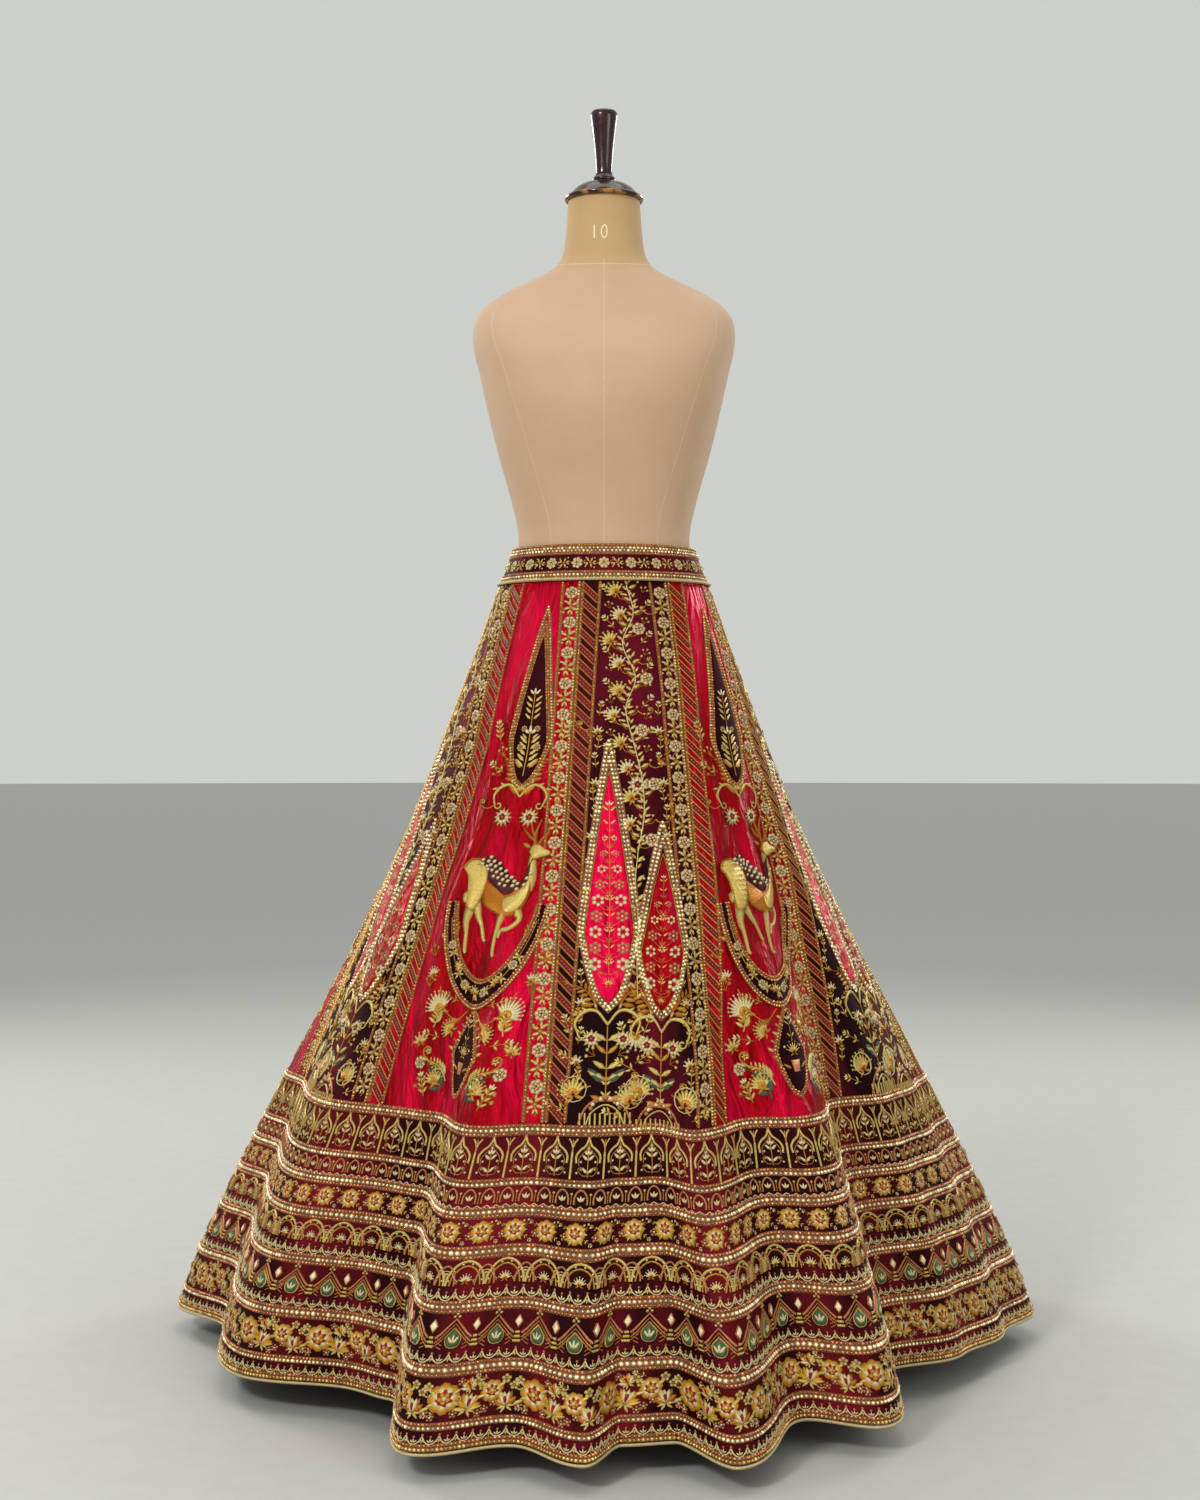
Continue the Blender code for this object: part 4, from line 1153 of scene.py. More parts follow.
# Bead rows of the border: (metres from its seam, thread, size), three to a band of trim
BORDER_BEADS = (
    (0.0022, "copper", 1.0), (0.0068, "crystal", 1.2), (0.0114, "copper", 1.0),
    (0.0642, "copper", 0.9), (0.0688, "crystal", 1.15),
    (0.0955, "copper", 1.0), (0.1003, "crystal", 1.25), (0.1050, "copper", 1.0),
    (0.1390, "copper", 1.0), (0.1442, "crystal", 1.45), (0.1494, "copper", 1.0),
    (0.1978, "copper", 1.0), (0.2026, "crystal", 1.2), (0.2074, "copper", 1.0),
    (0.2645, "copper", 1.0), (0.2697, "crystal", 1.4), (0.2749, "copper", 1.0),
    (0.3268, "copper", 0.9), (0.3312, "crystal", 1.1),
    (0.3490, "copper", 1.0), (0.3532, "pale", 1.0),
)
BAND_BEADS = (
    (0.0018, "gold", 0.9), (0.0056, "crystal", 1.25), (0.0094, "crystal", 1.25), (0.0128, "copper", 0.8),
    (0.0380, "copper", 0.9), (0.0418, "crystal", 1.25), (0.0456, "pale", 1.0),
)


# ---------------- meshes


def new_mesh(name, points, faces, uv=None, colours=None, sharp=None, edges=()):
    """A mesh object from points and faces, with a UV per point and a colour per point."""
    mesh = bpy.data.meshes.new(name)
    mesh.from_pydata(np.asarray(points).tolist(), edges, faces)
    if uv is not None:
        loops = np.zeros(len(mesh.loops), dtype=np.int32)
        mesh.loops.foreach_get("vertex_index", loops)
        mesh.uv_layers.new(name="UVMap").data.foreach_set("uv", uv[loops].astype(np.float32).ravel())
    if colours is not None:
        add_values(mesh, "thread_colour", "FLOAT_COLOR", "color", colours)
    mesh.polygons.foreach_set("use_smooth", [True] * len(mesh.polygons))
    if sharp:
        mesh.set_sharp_from_angle(angle=math.radians(sharp))
    mesh.update()
    obj = bpy.data.objects.new(name, mesh)
    bpy.context.scene.collection.objects.link(obj)
    return obj


def add_values(mesh, name, kind, field, values):
    """A named attribute with a value for each point."""
    layer = mesh.attributes.new(name, kind, "POINT")
    layer.data.foreach_set(field, np.asarray(values, dtype=np.float32).ravel())


def grid_shell(name, outer, inner, uv, ring=False):
    """A closed wall between two grids of points; ring joins its first and last columns."""
    rows, columns = outer.shape[:2]
    back = rows * columns
    number = np.arange(back).reshape(rows, columns)
    if ring:
        number = np.hstack([number, number[:, :1]])
    a, b, c, d = number[:-1, :-1], number[:-1, 1:], number[1:, 1:], number[1:, :-1]
    front = np.stack([a, d, c, b], axis=-1).reshape(-1, 4)
    faces = [front, front[:, ::-1] + back]
    rims = number[0], number[-1, ::-1], number[::-1, 0], number[:, -1]
    for rim in rims[: 2 if ring else 4]:
        low, high = rim[:-1], rim[1:]
        faces.append(np.stack([low, high, high + back, low + back], axis=-1))
    points = np.vstack([outer.reshape(-1, 3), inner.reshape(-1, 3)])
    flat = uv.reshape(-1, 2)
    return new_mesh(name, points, np.vstack(faces).tolist(), uv=np.vstack([flat, flat]), sharp=50)


def tube(name, route, radius, sides=8):
    """A closed cord round a ring of points."""
    ahead = np.roll(route, -1, axis=0) - np.roll(route, 1, axis=0)
    ahead /= np.linalg.norm(ahead, axis=1, keepdims=True)
    out = np.cross(ahead, [0, 0, 1.0])
    out /= np.linalg.norm(out, axis=1, keepdims=True)
    turns = np.radians(np.arange(sides) * 360 / sides)[None, :, None]
    top = np.cross(out, ahead)
    rings = route[:, None] + radius * (out[:, None] * np.cos(turns) + top[:, None] * np.sin(turns))
    near = np.arange(len(route) * sides).reshape(-1, sides)
    far = np.roll(near, -1, axis=0)
    faces = np.stack([near, far, np.roll(far, -1, axis=1), np.roll(near, -1, axis=1)], axis=-1)
    around = np.arange(sides) * radius * 2 * math.pi / sides
    uv = np.stack(np.broadcast_arrays(run_of(route)[:, None], around[None, :]), axis=-1)
    return new_mesh(name, rings.reshape(-1, 3), faces.reshape(-1, 4)[:, ::-1].tolist(), uv=uv.reshape(-1, 2))


def lathe(name, profile, foot):
    """A turned solid: (radius, height) rows from the bottom up, closed at both ends."""
    path = through(profile, 3)
    turns = np.linspace(0, 2 * math.pi, 72, endpoint=False)
    x, y = path[:, :1] * np.cos(turns), path[:, :1] * np.sin(turns)
    return loft(name, np.stack([x, y, np.broadcast_to(path[:, 1:] + foot, x.shape)], axis=-1))


def loft(name, rings):
    """A closed solid through level rings of points, given from the bottom up."""
    rows, columns = rings.shape[:2]
    number = np.arange(rows * columns).reshape(rows, columns)
    n = np.roll(number, -1, axis=1)
    faces = np.stack([number[:-1], n[:-1], n[1:], number[1:]], axis=-1).reshape(-1, 4).tolist()
    points = np.vstack([rings.reshape(-1, 3), rings[0].mean(axis=0), rings[-1].mean(axis=0)])
    for i in range(columns):
        faces.append([rows * columns, int(n[0, i]), int(number[0, i])])
        faces.append([rows * columns + 1, int(number[-1, i]), int(n[-1, i])])
    return new_mesh(name, points, faces, sharp=38)


def finish_piece(obj, material, nodes=()):
    """Material, body and the CAD nodes that a piece stands for."""
    if material is not None:
        obj.data.materials.append(material)
    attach(obj, "root")
    if nodes:
        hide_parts(*nodes)
    return obj


# ---------------- thread and bead pieces


def ribbon(middle, out, width, lift):
    """Points, triangles and stitch coordinates of a narrow raised tape along a path."""
    side = np.cross(np.gradient(middle, axis=0), out)
    side *= width / 2 / np.maximum(1e-9, np.linalg.norm(side, axis=1, keepdims=True))
    rows = np.stack([middle + side, middle + out * lift, middle - side], axis=1)
    aside = np.tile([width / 2, 0, -width / 2], len(middle))
    stitches = np.stack([np.repeat(run_of(middle), 3), aside], axis=1)
    return rows.reshape(-1, 3), tape_faces(len(middle)), stitches


# The couched thread under a bead row: its width for a bead of size 1, its sink and its rise
BED_WIDTH, BED_SINK, BED_RISE = 0.0046, 0.0004, 0.0008


class Trimming(Pile):
    """The thread work and bead rows of one piece of cloth."""

    def __init__(self, number, spread):
        super().__init__()
        self.number, self.spread = number, spread
        self.rows = []

    def lay(self, sketch, side=0.5, across=0.0, lift=0.0, even=False):
        """Lay a sketch on the cloth: x across from a side, y minus the drop."""
        points, faces, threads, stitches = sketch.parts()
        lift = points[:, 2] + CLEAR + lift
        placed, _ = self.spread(self.number, side, points[:, 0] + across, -points[:, 1], lift, even)
        self.pile(placed, faces, threads, stitches)

    def bead_row(self, across, drop, thread, size=1.0, side=0.5, lift=0.0006, even=False):
        """A row of beads through metres across and down, on a bed of couched thread."""
        points, out = self.spread(self.number, side, across, drop, lift, even)
        self.rows.append((points, out, thread, size))
        tape, faces, stitches = ribbon(points - out * BED_SINK, out, BED_WIDTH * size, BED_RISE)
        self.pile(tape, faces, np.full(len(tape), float(THREAD_NUMBER["bed"])), stitches)

    def loop_row(self, outline, thread, size, across):
        """A row of beads round an outline given as a sketch."""
        loop = closed(outline)
        self.bead_row(loop[:, 0] + across, -loop[:, 1], thread, size)

    def finish(self, context, stem, slot, pitch, radius):
        """A mesh of all the thread work and a mesh of all the beads."""
        palette = thread_colours(context)
        points, faces, threads, stitches = self.parts()
        dye = palette[threads.astype(int)]
        # Painted shade: the marked edge points of the thread work get a darker colour
        dye[threads % 1 > 0, :3] *= EDGE_SHADE
        work = new_mesh(stem + "_embroidery", points, faces.tolist(), uv=stitches, colours=dye)
        finish_piece(work, thread_finish("Embroidery thread"))

        counts = [len(row[0]) for row in self.rows]
        spots = np.arange(sum(counts))
        ends = np.cumsum(counts) - 1
        hops = np.delete(spots, ends)
        dye = np.repeat([palette[THREAD_NUMBER[row[2]]] for row in self.rows], counts, axis=0)
        edges = np.stack([hops, hops + 1], axis=1).tolist()
        points = np.vstack([row[0] for row in self.rows])
        beads = new_mesh(stem + "_beads", points, [], colours=dye, edges=edges)
        add_values(beads.data, "out", "FLOAT_VECTOR", "vector", np.vstack([row[1] for row in self.rows]))
        add_values(beads.data, "size", "FLOAT", "value", np.repeat([row[3] for row in self.rows], counts))
        apply_tree(beads, bead_tree(), {"Pitch": pitch, "Radius": radius, "Finish": bead_finish("Beads")})
        return work, finish_piece(beads, None)


def apply_tree(obj, tree, values):
    """Run a node tree on an object and keep the result as its plain mesh."""
    modifier = obj.modifiers.new("tree", "NODES")
    modifier.node_group = tree
    for item in tree.interface.items_tree:
        if item.in_out == "INPUT" and item.name in values:
            modifier[item.identifier] = values[item.name]
    graph = bpy.context.evaluated_depsgraph_get()
    done = obj.evaluated_get(graph)
    result = bpy.data.meshes.new_from_object(done, preserve_all_data_layers=True, depsgraph=graph)
    obj.modifiers.remove(modifier)
    old, obj.data = obj.data, result
    result.name = obj.name
    bpy.data.meshes.remove(old)


# ---------------- node trees and finishes

VECTOR, FLOAT, COLOUR_MIX = "NodeSocketVector", "NodeSocketFloat", (0, 6, 7)


def add_node(tree, kind, sockets=None, **settings):
    """A node with its settings, and its sockets' values or links."""
    node = tree.nodes.new(kind)
    for key, value in settings.items():
        setattr(node, key, value)
    for key, value in (sockets or {}).items():
        join(tree, value, node.inputs[key])
    return node


def join(tree, value, socket):
    """Link an output to a socket, or set the socket's value."""
    if isinstance(value, bpy.types.NodeSocket):
        tree.links.new(value, socket)
    elif value is not None:
        socket.default_value = value


def maths(tree, operation, a, b=0.0, clamp=False):
    """One sum on two values or sockets."""
    return add_node(tree, "ShaderNodeMath", {0: a, 1: b}, operation=operation, use_clamp=clamp).outputs[0]


def times(tree, a, b, clamp=False):
    """Two values or sockets multiplied."""
    return maths(tree, "MULTIPLY", a, b, clamp)


def noise(tree, place, scale, detail=2.0, distortion=0.0):
    """Soft noise at a place."""
    values = {"Vector": place, "Scale": scale, "Detail": detail, "Distortion": distortion}
    return add_node(tree, "ShaderNodeTexNoise", values).outputs[0]


def stretched(tree, place, by):
    """A place times a vector."""
    return add_node(tree, "ShaderNodeVectorMath", {0: place, 1: by}, operation="MULTIPLY").outputs[0]


def apart(tree, place):
    """The x, y and z of a place."""
    return add_node(tree, "ShaderNodeSeparateXYZ", {0: place}).outputs


def ranged(tree, value, low, high, first=0.0, last=1.0):
    """A value between first and last, turned to one between low and high."""
    values = {"Value": value, "From Min": first, "From Max": last, "To Min": low, "To Max": high}
    return add_node(tree, "ShaderNodeMapRange", values).outputs[0]


def blended(tree, mask, *colours, way="MIX"):
    """A mix of two colours by a mask."""
    colours = [c if isinstance(c, bpy.types.NodeSocket) else (*c[:3], 1) for c in colours]
    sockets = dict(zip(COLOUR_MIX, (mask, *colours)))
    return add_node(tree, "ShaderNodeMix", sockets, data_type="RGBA", blend_type=way).outputs[2]


def effect(name, inputs, outputs, build, kind="ShaderNodeTree"):
    """A node group, built once."""
    if name in bpy.data.node_groups:
        return bpy.data.node_groups[name]
    tree = bpy.data.node_groups.new(name, kind)
    for label, socket_type, default in inputs:
        join(tree, default, tree.interface.new_socket(label, in_out="INPUT", socket_type=socket_type))
    for label, socket_type in outputs:
        tree.interface.new_socket(label, in_out="OUTPUT", socket_type=socket_type)
    start = add_node(tree, "NodeGroupInput")
    add_node(tree, "NodeGroupOutput", build(tree, start.outputs))
    return tree


# A bead's size, by chance
SMALLEST_BEAD, LARGEST_BEAD = 0.86, 1.12


def bead_tree():
    """Beads set along edges, each turned to face out of the cloth."""

    def build(tree, given):
        named = "GeometryNodeInputNamedAttribute"
        size = add_node(tree, named, {"Name": "size"}, data_type="FLOAT").outputs["Attribute"]
        out = add_node(tree, named, {"Name": "out"}, data_type="FLOAT_VECTOR").outputs["Attribute"]
        chance = {2: SMALLEST_BEAD, 3: LARGEST_BEAD, "Seed": given["Seed"]}
        chance = add_node(tree, "FunctionNodeRandomValue", chance, data_type="FLOAT").outputs[1]
        bulk = times(tree, times(tree, given["Radius"], size), chance)
        line = add_node(tree, "GeometryNodeMeshToCurve", {0: given["Geometry"]}).outputs[0]
        line = {"Curve": line, "Length": times(tree, given["Pitch"], size)}
        spots = add_node(tree, "GeometryNodeResampleCurve", line, mode="LENGTH").outputs[0]
        ball = add_node(tree, "GeometryNodeMeshUVSphere", {"Segments": 6, "Rings": 2}).outputs["Mesh"]
        turn = add_node(tree, "FunctionNodeAlignRotationToVector", {"Vector": out}, axis="Z").outputs[0]
        beads = {"Points": spots, "Instance": ball, "Rotation": turn, "Scale": bulk}
        beads = add_node(tree, "GeometryNodeInstanceOnPoints", beads).outputs[0]
        tint = {"Geometry": beads, "Name": "tint", "Value": chance}
        store = add_node(tree, "GeometryNodeStoreNamedAttribute", tint, data_type="FLOAT", domain="INSTANCE")
        beads = add_node(tree, "GeometryNodeRealizeInstances", {0: store.outputs[0]}).outputs[0]
        beads = add_node(tree, "GeometryNodeSetShadeSmooth", {"Geometry": beads}).outputs[0]
        paint = {"Geometry": beads, "Material": given["Finish"]}
        return {"Geometry": add_node(tree, "GeometryNodeSetMaterial", paint).outputs[0]}

    geometry = "NodeSocketGeometry"
    inputs = (
        ("Geometry", geometry, None), ("Pitch", FLOAT, 0.0046), ("Radius", FLOAT, 0.0017),
        ("Seed", "NodeSocketInt", 7), ("Finish", "NodeSocketMaterial", None),
    )
    return effect("Bead rows", inputs, (("Geometry", geometry),), build, "GeometryNodeTree")


def nap_and_sheen_effect():
    """Large soft painted shading, of sheen and shade, and a fine tooth, for pile and brushed cloth."""

    def build(tree, given):
        wide = stretched(tree, given["Coordinates"], (1, 0.35, 1))
        soft = noise(tree, wide, given["Scale"], 3.0)
        fine = noise(tree, given["Coordinates"], 900.0, 1.0)
        # The mask is painted sheen and shade in soft noise patches, with the fine tooth added
        mask = times(tree, maths(tree, "SUBTRACT", soft, 0.42), given["Contrast"], True)
        tooth = times(tree, maths(tree, "SUBTRACT", fine, 0.5), 0.35)
        return {"Mask": maths(tree, "ADD", mask, tooth, True), "Height": fine, "Soft": soft}

    inputs = (("Coordinates", VECTOR, None), ("Scale", FLOAT, 14.0), ("Contrast", FLOAT, 3.0))
    return effect("Nap", inputs, (("Mask", FLOAT), ("Height", FLOAT), ("Soft", FLOAT)), build)


def weave_effect():
    """Crossing threads, in threads per metre."""

    def build(tree, given):
        place = apart(tree, given["Coordinates"])
        turn = times(tree, given["Threads"], math.pi)
        across = maths(tree, "SINE", times(tree, place[0], turn))
        down = maths(tree, "SINE", times(tree, maths(tree, "ADD", place[2], place[1]), turn))
        height = times(tree, across, down)
        return {"Height": maths(tree, "ADD", height, noise(tree, given["Coordinates"], 260.0))}

    inputs = (("Coordinates", VECTOR, None), ("Threads", FLOAT, 900.0))
    return effect("Weave", inputs, (("Height", FLOAT),), build)


def stitch_effect():
    """Satin stitches that lie slanting across a motif; where the mask colours thread, its low parts are painted
    shade in the grooves between stitches.
    """

    def build(tree, given):
        place = apart(tree, given["Coordinates"])
        run = maths(tree, "ADD", place[0], times(tree, place[1], given["Slant"]))
        pitch = maths(tree, "DIVIDE", given["Pitch"], 2 * math.pi)
        wave = maths(tree, "SINE", maths(tree, "DIVIDE", run, pitch))
        loose = noise(tree, given["Coordinates"], 420.0)
        level = maths(tree, "ADD", times(tree, wave, 0.30), loose)
        return {"Mask": maths(tree, "ADD", level, 0.0, True), "Height": level}

    inputs = (("Coordinates", VECTOR, None), ("Pitch", FLOAT, 0.0012), ("Slant", FLOAT, 0.6))
    return effect("Stitches", inputs, (("Mask", FLOAT), ("Height", FLOAT)), build)


def wear_effect():
    """Uneven tone from age and handling."""

    def build(tree, given):
        patch = noise(tree, given["Coordinates"], given["Scale"], 5.0)
        level = times(tree, maths(tree, "SUBTRACT", patch, 0.5), given["Amount"])
        return {"Mask": maths(tree, "ADD", level, 0.5, True)}

    inputs = (("Coordinates", VECTOR, None), ("Scale", FLOAT, 12.0), ("Amount", FLOAT, 2.0))
    return effect("Wear", inputs, (("Mask", FLOAT),), build)


def group(tree, shared, place, **values):
    """The outputs of a shared effect in a material."""
    return add_node(tree, "ShaderNodeGroup", {"Coordinates": place, **values}, node_tree=shared).outputs


def new_material(name, kind=None, **constants):
    """A material with its constants set, its tree and shader, and its coordinates of a kind."""
    material = bpy.data.materials.new(name)
    material.use_nodes = True
    tree = material.node_tree
    shader = tree.nodes["Principled BSDF"]
    for key, value in constants.items():
        shader.inputs[key.replace("_", " ").title().replace("Ior", "IOR")].default_value = value
    return material, tree, shader, kind and add_node(tree, "ShaderNodeTexCoord").outputs[kind]


def bumped(tree, shader, height, distance, strength=1.0):
    """Feed a height to the shader's normal."""
    bump = add_node(tree, "ShaderNodeBump", {"Height": height, "Distance": distance, "Strength": strength})
    tree.links.new(bump.outputs[0], shader.inputs["Normal"])


def tinted(colour, by):
    """A colour made lighter or darker."""
    return tuple(min(1, c * by) for c in colour)


def once(build):
    """Build a finish only the first time that its name is asked for."""
    return lambda name, *values: bpy.data.materials.get(name) or build(name, *values)


@once
def velvet_finish(name, dark, light, contrast, sheen):
    """Silk velvet: deep pile whose shader sheen lights up along its folds, with painted sheen mixed in as soft
    noise patches of a lighter colour.
    """
    material, tree, shader, uv = new_material(
        name, "UV", roughness=0.62, sheen_weight=sheen, sheen_roughness=0.30,
        sheen_tint=(*light, 1), specular_ior_level=0.10,
    )
    nap_and_sheen = group(tree, nap_and_sheen_effect(), uv, Scale=9.0, Contrast=contrast)
    # Painted sheen: the dark pile is mixed towards the lighter colour by the mask
    join(tree, blended(tree, nap_and_sheen["Mask"], dark, light), shader.inputs["Base Color"])
    bumped(tree, shader, nap_and_sheen["Height"], 0.0006, 0.6)
    return material


@once
def satin_finish(name, base, light):
    """Glossy satin with soft wrinkles, and painted highlight mixed in as soft noise patches of a lighter colour."""
    material, tree, shader, uv = new_material(
        name, "UV", metallic=0.45, anisotropic=0.4, specular_ior_level=0.12
    )
    nap_and_sheen = group(tree, nap_and_sheen_effect(), uv, Scale=13.0, Contrast=4.2)
    # Painted highlight: the satin is mixed towards the lighter colour by the mask
    join(tree, blended(tree, nap_and_sheen["Mask"], base, light), shader.inputs["Base Color"])
    fold = noise(tree, stretched(tree, uv, (32, 8, 1)), 1.0, 2.0, 1.4)
    fine = maths(tree, "ADD", fold, times(tree, nap_and_sheen["Height"], 0.04))
    bumped(tree, shader, fine, 0.0170)
    join(tree, ranged(tree, nap_and_sheen["Soft"], 0.22, 0.38), shader.inputs["Roughness"])
    return material


def dye_shader(tree, shader, shade):
    """Colour and metal from the thread_colour attribute, with the colour times a factor: painted shade and random
    tone for thread, random tone for beads.
    """
    dye = add_node(tree, "ShaderNodeAttribute", attribute_name="thread_colour").outputs
    values = {0: dye["Color"], "Scale": shade}
    colour = add_node(tree, "ShaderNodeVectorMath", values, operation="SCALE").outputs[0]
    join(tree, colour, shader.inputs["Base Color"])
    join(tree, dye["Alpha"], shader.inputs["Metallic"])


@once
def thread_finish(name):
    """Couched metal and silk thread."""
    material, tree, shader, uv = new_material(name, "UV", roughness=0.40, specular_ior_level=0.3)
    stitches = group(tree, stitch_effect(), uv, Pitch=0.0013, Slant=0.7)
    # Painted shade and highlight: thread darkens in the grooves between stitches and lightens on their ridges, with
    # some random tone
    dye_shader(tree, shader, ranged(tree, stitches["Mask"], 0.62, 1.25))
    bumped(tree, shader, stitches["Height"], 0.0005, 0.7)
    return material


@once
def bead_finish(name):
    """Glass and metal beads, each a little lighter or darker than the next."""
    material, tree, shader, _ = new_material(name, roughness=0.24, coat_weight=0.4, coat_roughness=0.08)
    tint = add_node(tree, "ShaderNodeAttribute", attribute_name="tint").outputs["Fac"]
    dye_shader(tree, shader, ranged(tree, tint, 0.55, 1.35, SMALLEST_BEAD, LARGEST_BEAD))
    return material


@once
def cord_finish(name, colour):
    """Twisted piping cord, with painted shade in the grooves of its twist."""
    material, tree, shader, uv = new_material(name, "UV", roughness=0.5, sheen_weight=0.2, metallic=0.15)
    twist = group(tree, stitch_effect(), uv, Pitch=0.0030, Slant=1.0)
    # Painted shade: the cord's colour darkens in the grooves of its twist
    join(tree, blended(tree, twist["Mask"], tinted(colour, 0.55), colour), shader.inputs["Base Color"])
    bumped(tree, shader, twist["Height"], 0.0008)
    return material


@once
def cover_finish(name, neck, body):
    """Cotton stretched on the form: cream on the neck and tan below it."""
    material, tree, shader, place = new_material(
        name, "Object", roughness=0.78, sheen_weight=0.2, specular_ior_level=0.3
    )
    level = ranged(tree, apart(tree, place)[2], 0.0, 1.0, 1.452, 1.476)
    aged = group(tree, wear_effect(), place, Scale=14.0, Amount=1.8)
    weave = group(tree, weave_effect(), place, Threads=1400.0)
    worn = blended(tree, aged["Mask"], (0.35, 0.33, 0.30), (0.66, 0.66, 0.64))
    both = blended(tree, 0.25, blended(tree, level, body, neck), worn, way="SOFT_LIGHT")
    join(tree, both, shader.inputs["Base Color"])
    bumped(tree, shader, weave["Height"], 0.0002, 0.6)
    return material


@once
def wood_finish(name, colour, gilt):
    """Polished dark wood, with worn gilding on the cap's rim."""
    material, tree, shader, place = new_material(
        name, "Object", coat_weight=0.5, coat_roughness=0.12, specular_ior_level=0.4
    )
    grain = noise(tree, stretched(tree, place, (60, 60, 6)), 1.0, 6.0, 1.2)
    wood = blended(tree, grain, tinted(colour, 0.45), tinted(colour, 2.2))
    aged = group(tree, wear_effect(), place, Scale=70.0, Amount=6.0)
    rim = maths(tree, "LESS_THAN", apart(tree, place)[2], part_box("form_neck_cap")[0][2] + 0.0058)
    gilded = times(tree, rim, times(tree, aged["Mask"], 0.6))
    join(tree, blended(tree, gilded, wood, gilt), shader.inputs["Base Color"])
    join(tree, times(tree, gilded, 0.4), shader.inputs["Metallic"])
    join(tree, ranged(tree, aged["Mask"], 0.16, 0.34), shader.inputs["Roughness"])
    bumped(tree, shader, grain, 0.0002, 0.5)
    return material


@once
def painted_finish(name, colour):
    """Plain paint with a slight mottle, for the stand and the floor."""
    material, tree, shader, place = new_material(name, "Object", roughness=0.55)
    aged = group(tree, wear_effect(), place, Scale=30.0, Amount=1.0)
    mottled = blended(tree, aged["Mask"], tinted(colour, 0.94), tinted(colour, 1.05))
    join(tree, mottled, shader.inputs["Base Color"])
    return material


def wine_finish(colours):
    """The velvet of the border and the waistband."""
    return velvet_finish("Wine velvet", colours.wine, colours.wine_light, 3.0, 0.34)


def kali_finish(colours, cloth):
    """The finish of a kali."""
    if cloth == "velvet":
        return velvet_finish("Dark velvet", colours.velvet, colours.velvet_light, 3.0, 0.34)
    return satin_finish("Red satin", colours.satin, colours.satin_light)


# ---------------- pieces of cloth

# How far a kali's foot and a border section's top stay off their seam
EDGE_GAP = 0.0003
# Bead rows round the drops and the lozenge: (half width, top, foot, thread, size)
DROP_BEADS = (
    (0.0010, 0.004, 0.001, "gold", 1.0),
    (0.0036, 0.020, 0.004, "copper", 1.0),
    (0.0068, 0.040, 0.008, "pale", 1.0),
)
LOZENGE_BEADS = (0.0012, 0.0012 * 1.4, 0.0012, "gold", 1.1), (0.0048, 0.0048 * 1.4, 0.0048, "copper", 1.1)
SATIN_DROP_BEADS = (0.0036, 0.022, 0.004, "crystal", 1.35), (0.0080, 0.043, 0.009, "crystal", 1.35)


def cloth_shell(name, number, sides, drops, lift=0.0, wall=CLOTH_WALL, even=True, across=0.0):
    """A piece of cloth, with a UV in metres across and down."""
    side, drop = np.broadcast_arrays(sides, drops)
    outer, out = CLOTH.spread(number, side, across, drop, lift, even)
    run = np.stack([run_of(row) for row in outer])
    run = run - run[:, -1:] / 2
    return grid_shell(name, outer, outer - out * wall, np.stack([run, -drop + 0 * run], axis=-1))


def seam_strips(trim, sizes, bottom):
    """The striped strip beside the left seam and the rose strip beside the right."""
    width, pitch, step = sizes.strip_width, sizes.stripe_pitch, sizes.rose_pitch
    stripes, one = Sketch(), stripe(width - 0.004, pitch)
    for y in np.arange(pitch * 0.8, bottom - pitch * 0.6, pitch):
        stripes.add(one, width / 2, -y)
    trim.lay(stripes, 0, even=True)
    roses, bloom = Sketch(), rose()
    leaves = vine_step(step * 0.62, width, 1), vine_step(step * 0.62, width, -1)
    for i, y in enumerate(np.arange(step * 0.4, bottom - step * 0.2, step)):
        roses.add(bloom, -width / 2, -y, 30 * i)
        if y + step * 0.5 < bottom - 0.008:
            roses.add(leaves[i % 2], -width / 2, -y - step * 0.5)
    trim.lay(roses, 1, even=True)
    drops = np.linspace(0.003, bottom - 0.002, 90)
    rows = (0, 0.0024, "gold"), (0, width, "gold"), (1, -0.0024, "pale"), (1, -width, "gold")
    for side, across, thread in rows:
        trim.bead_row(across, drops, thread, 1.0, side, even=True)


def make_drop(number, patch, material, shift):
    """A pointed patch, sewn on."""
    rows = np.concatenate([[0.001, 0.02], np.linspace(0.05, 0.96, 21), [0.985, 0.999]])
    shares, half = flat_drop(patch)
    length = at(patch.top) - at(patch.bottom)
    drops = (length * rows - at(patch.top))[:, None]
    sides = np.linspace(-1, 1, 11)[None, :]
    across = patch.centre + shift + np.interp(rows, shares, half)[:, None] * sides
    lift = PATCH_LIFT + 0.0007 * np.sqrt(np.clip(1 - sides**4, 0, 1))
    name = f"{patch.name}_{number + 1}"
    obj = cloth_shell(name + "_cloth", number, 0.5, drops, lift, PATCH_WALL, False, across)
    finish_piece(obj, material, [name])
    return obj, (2 * patch.half_width, length, 2 * float(np.mean(half)) * length)


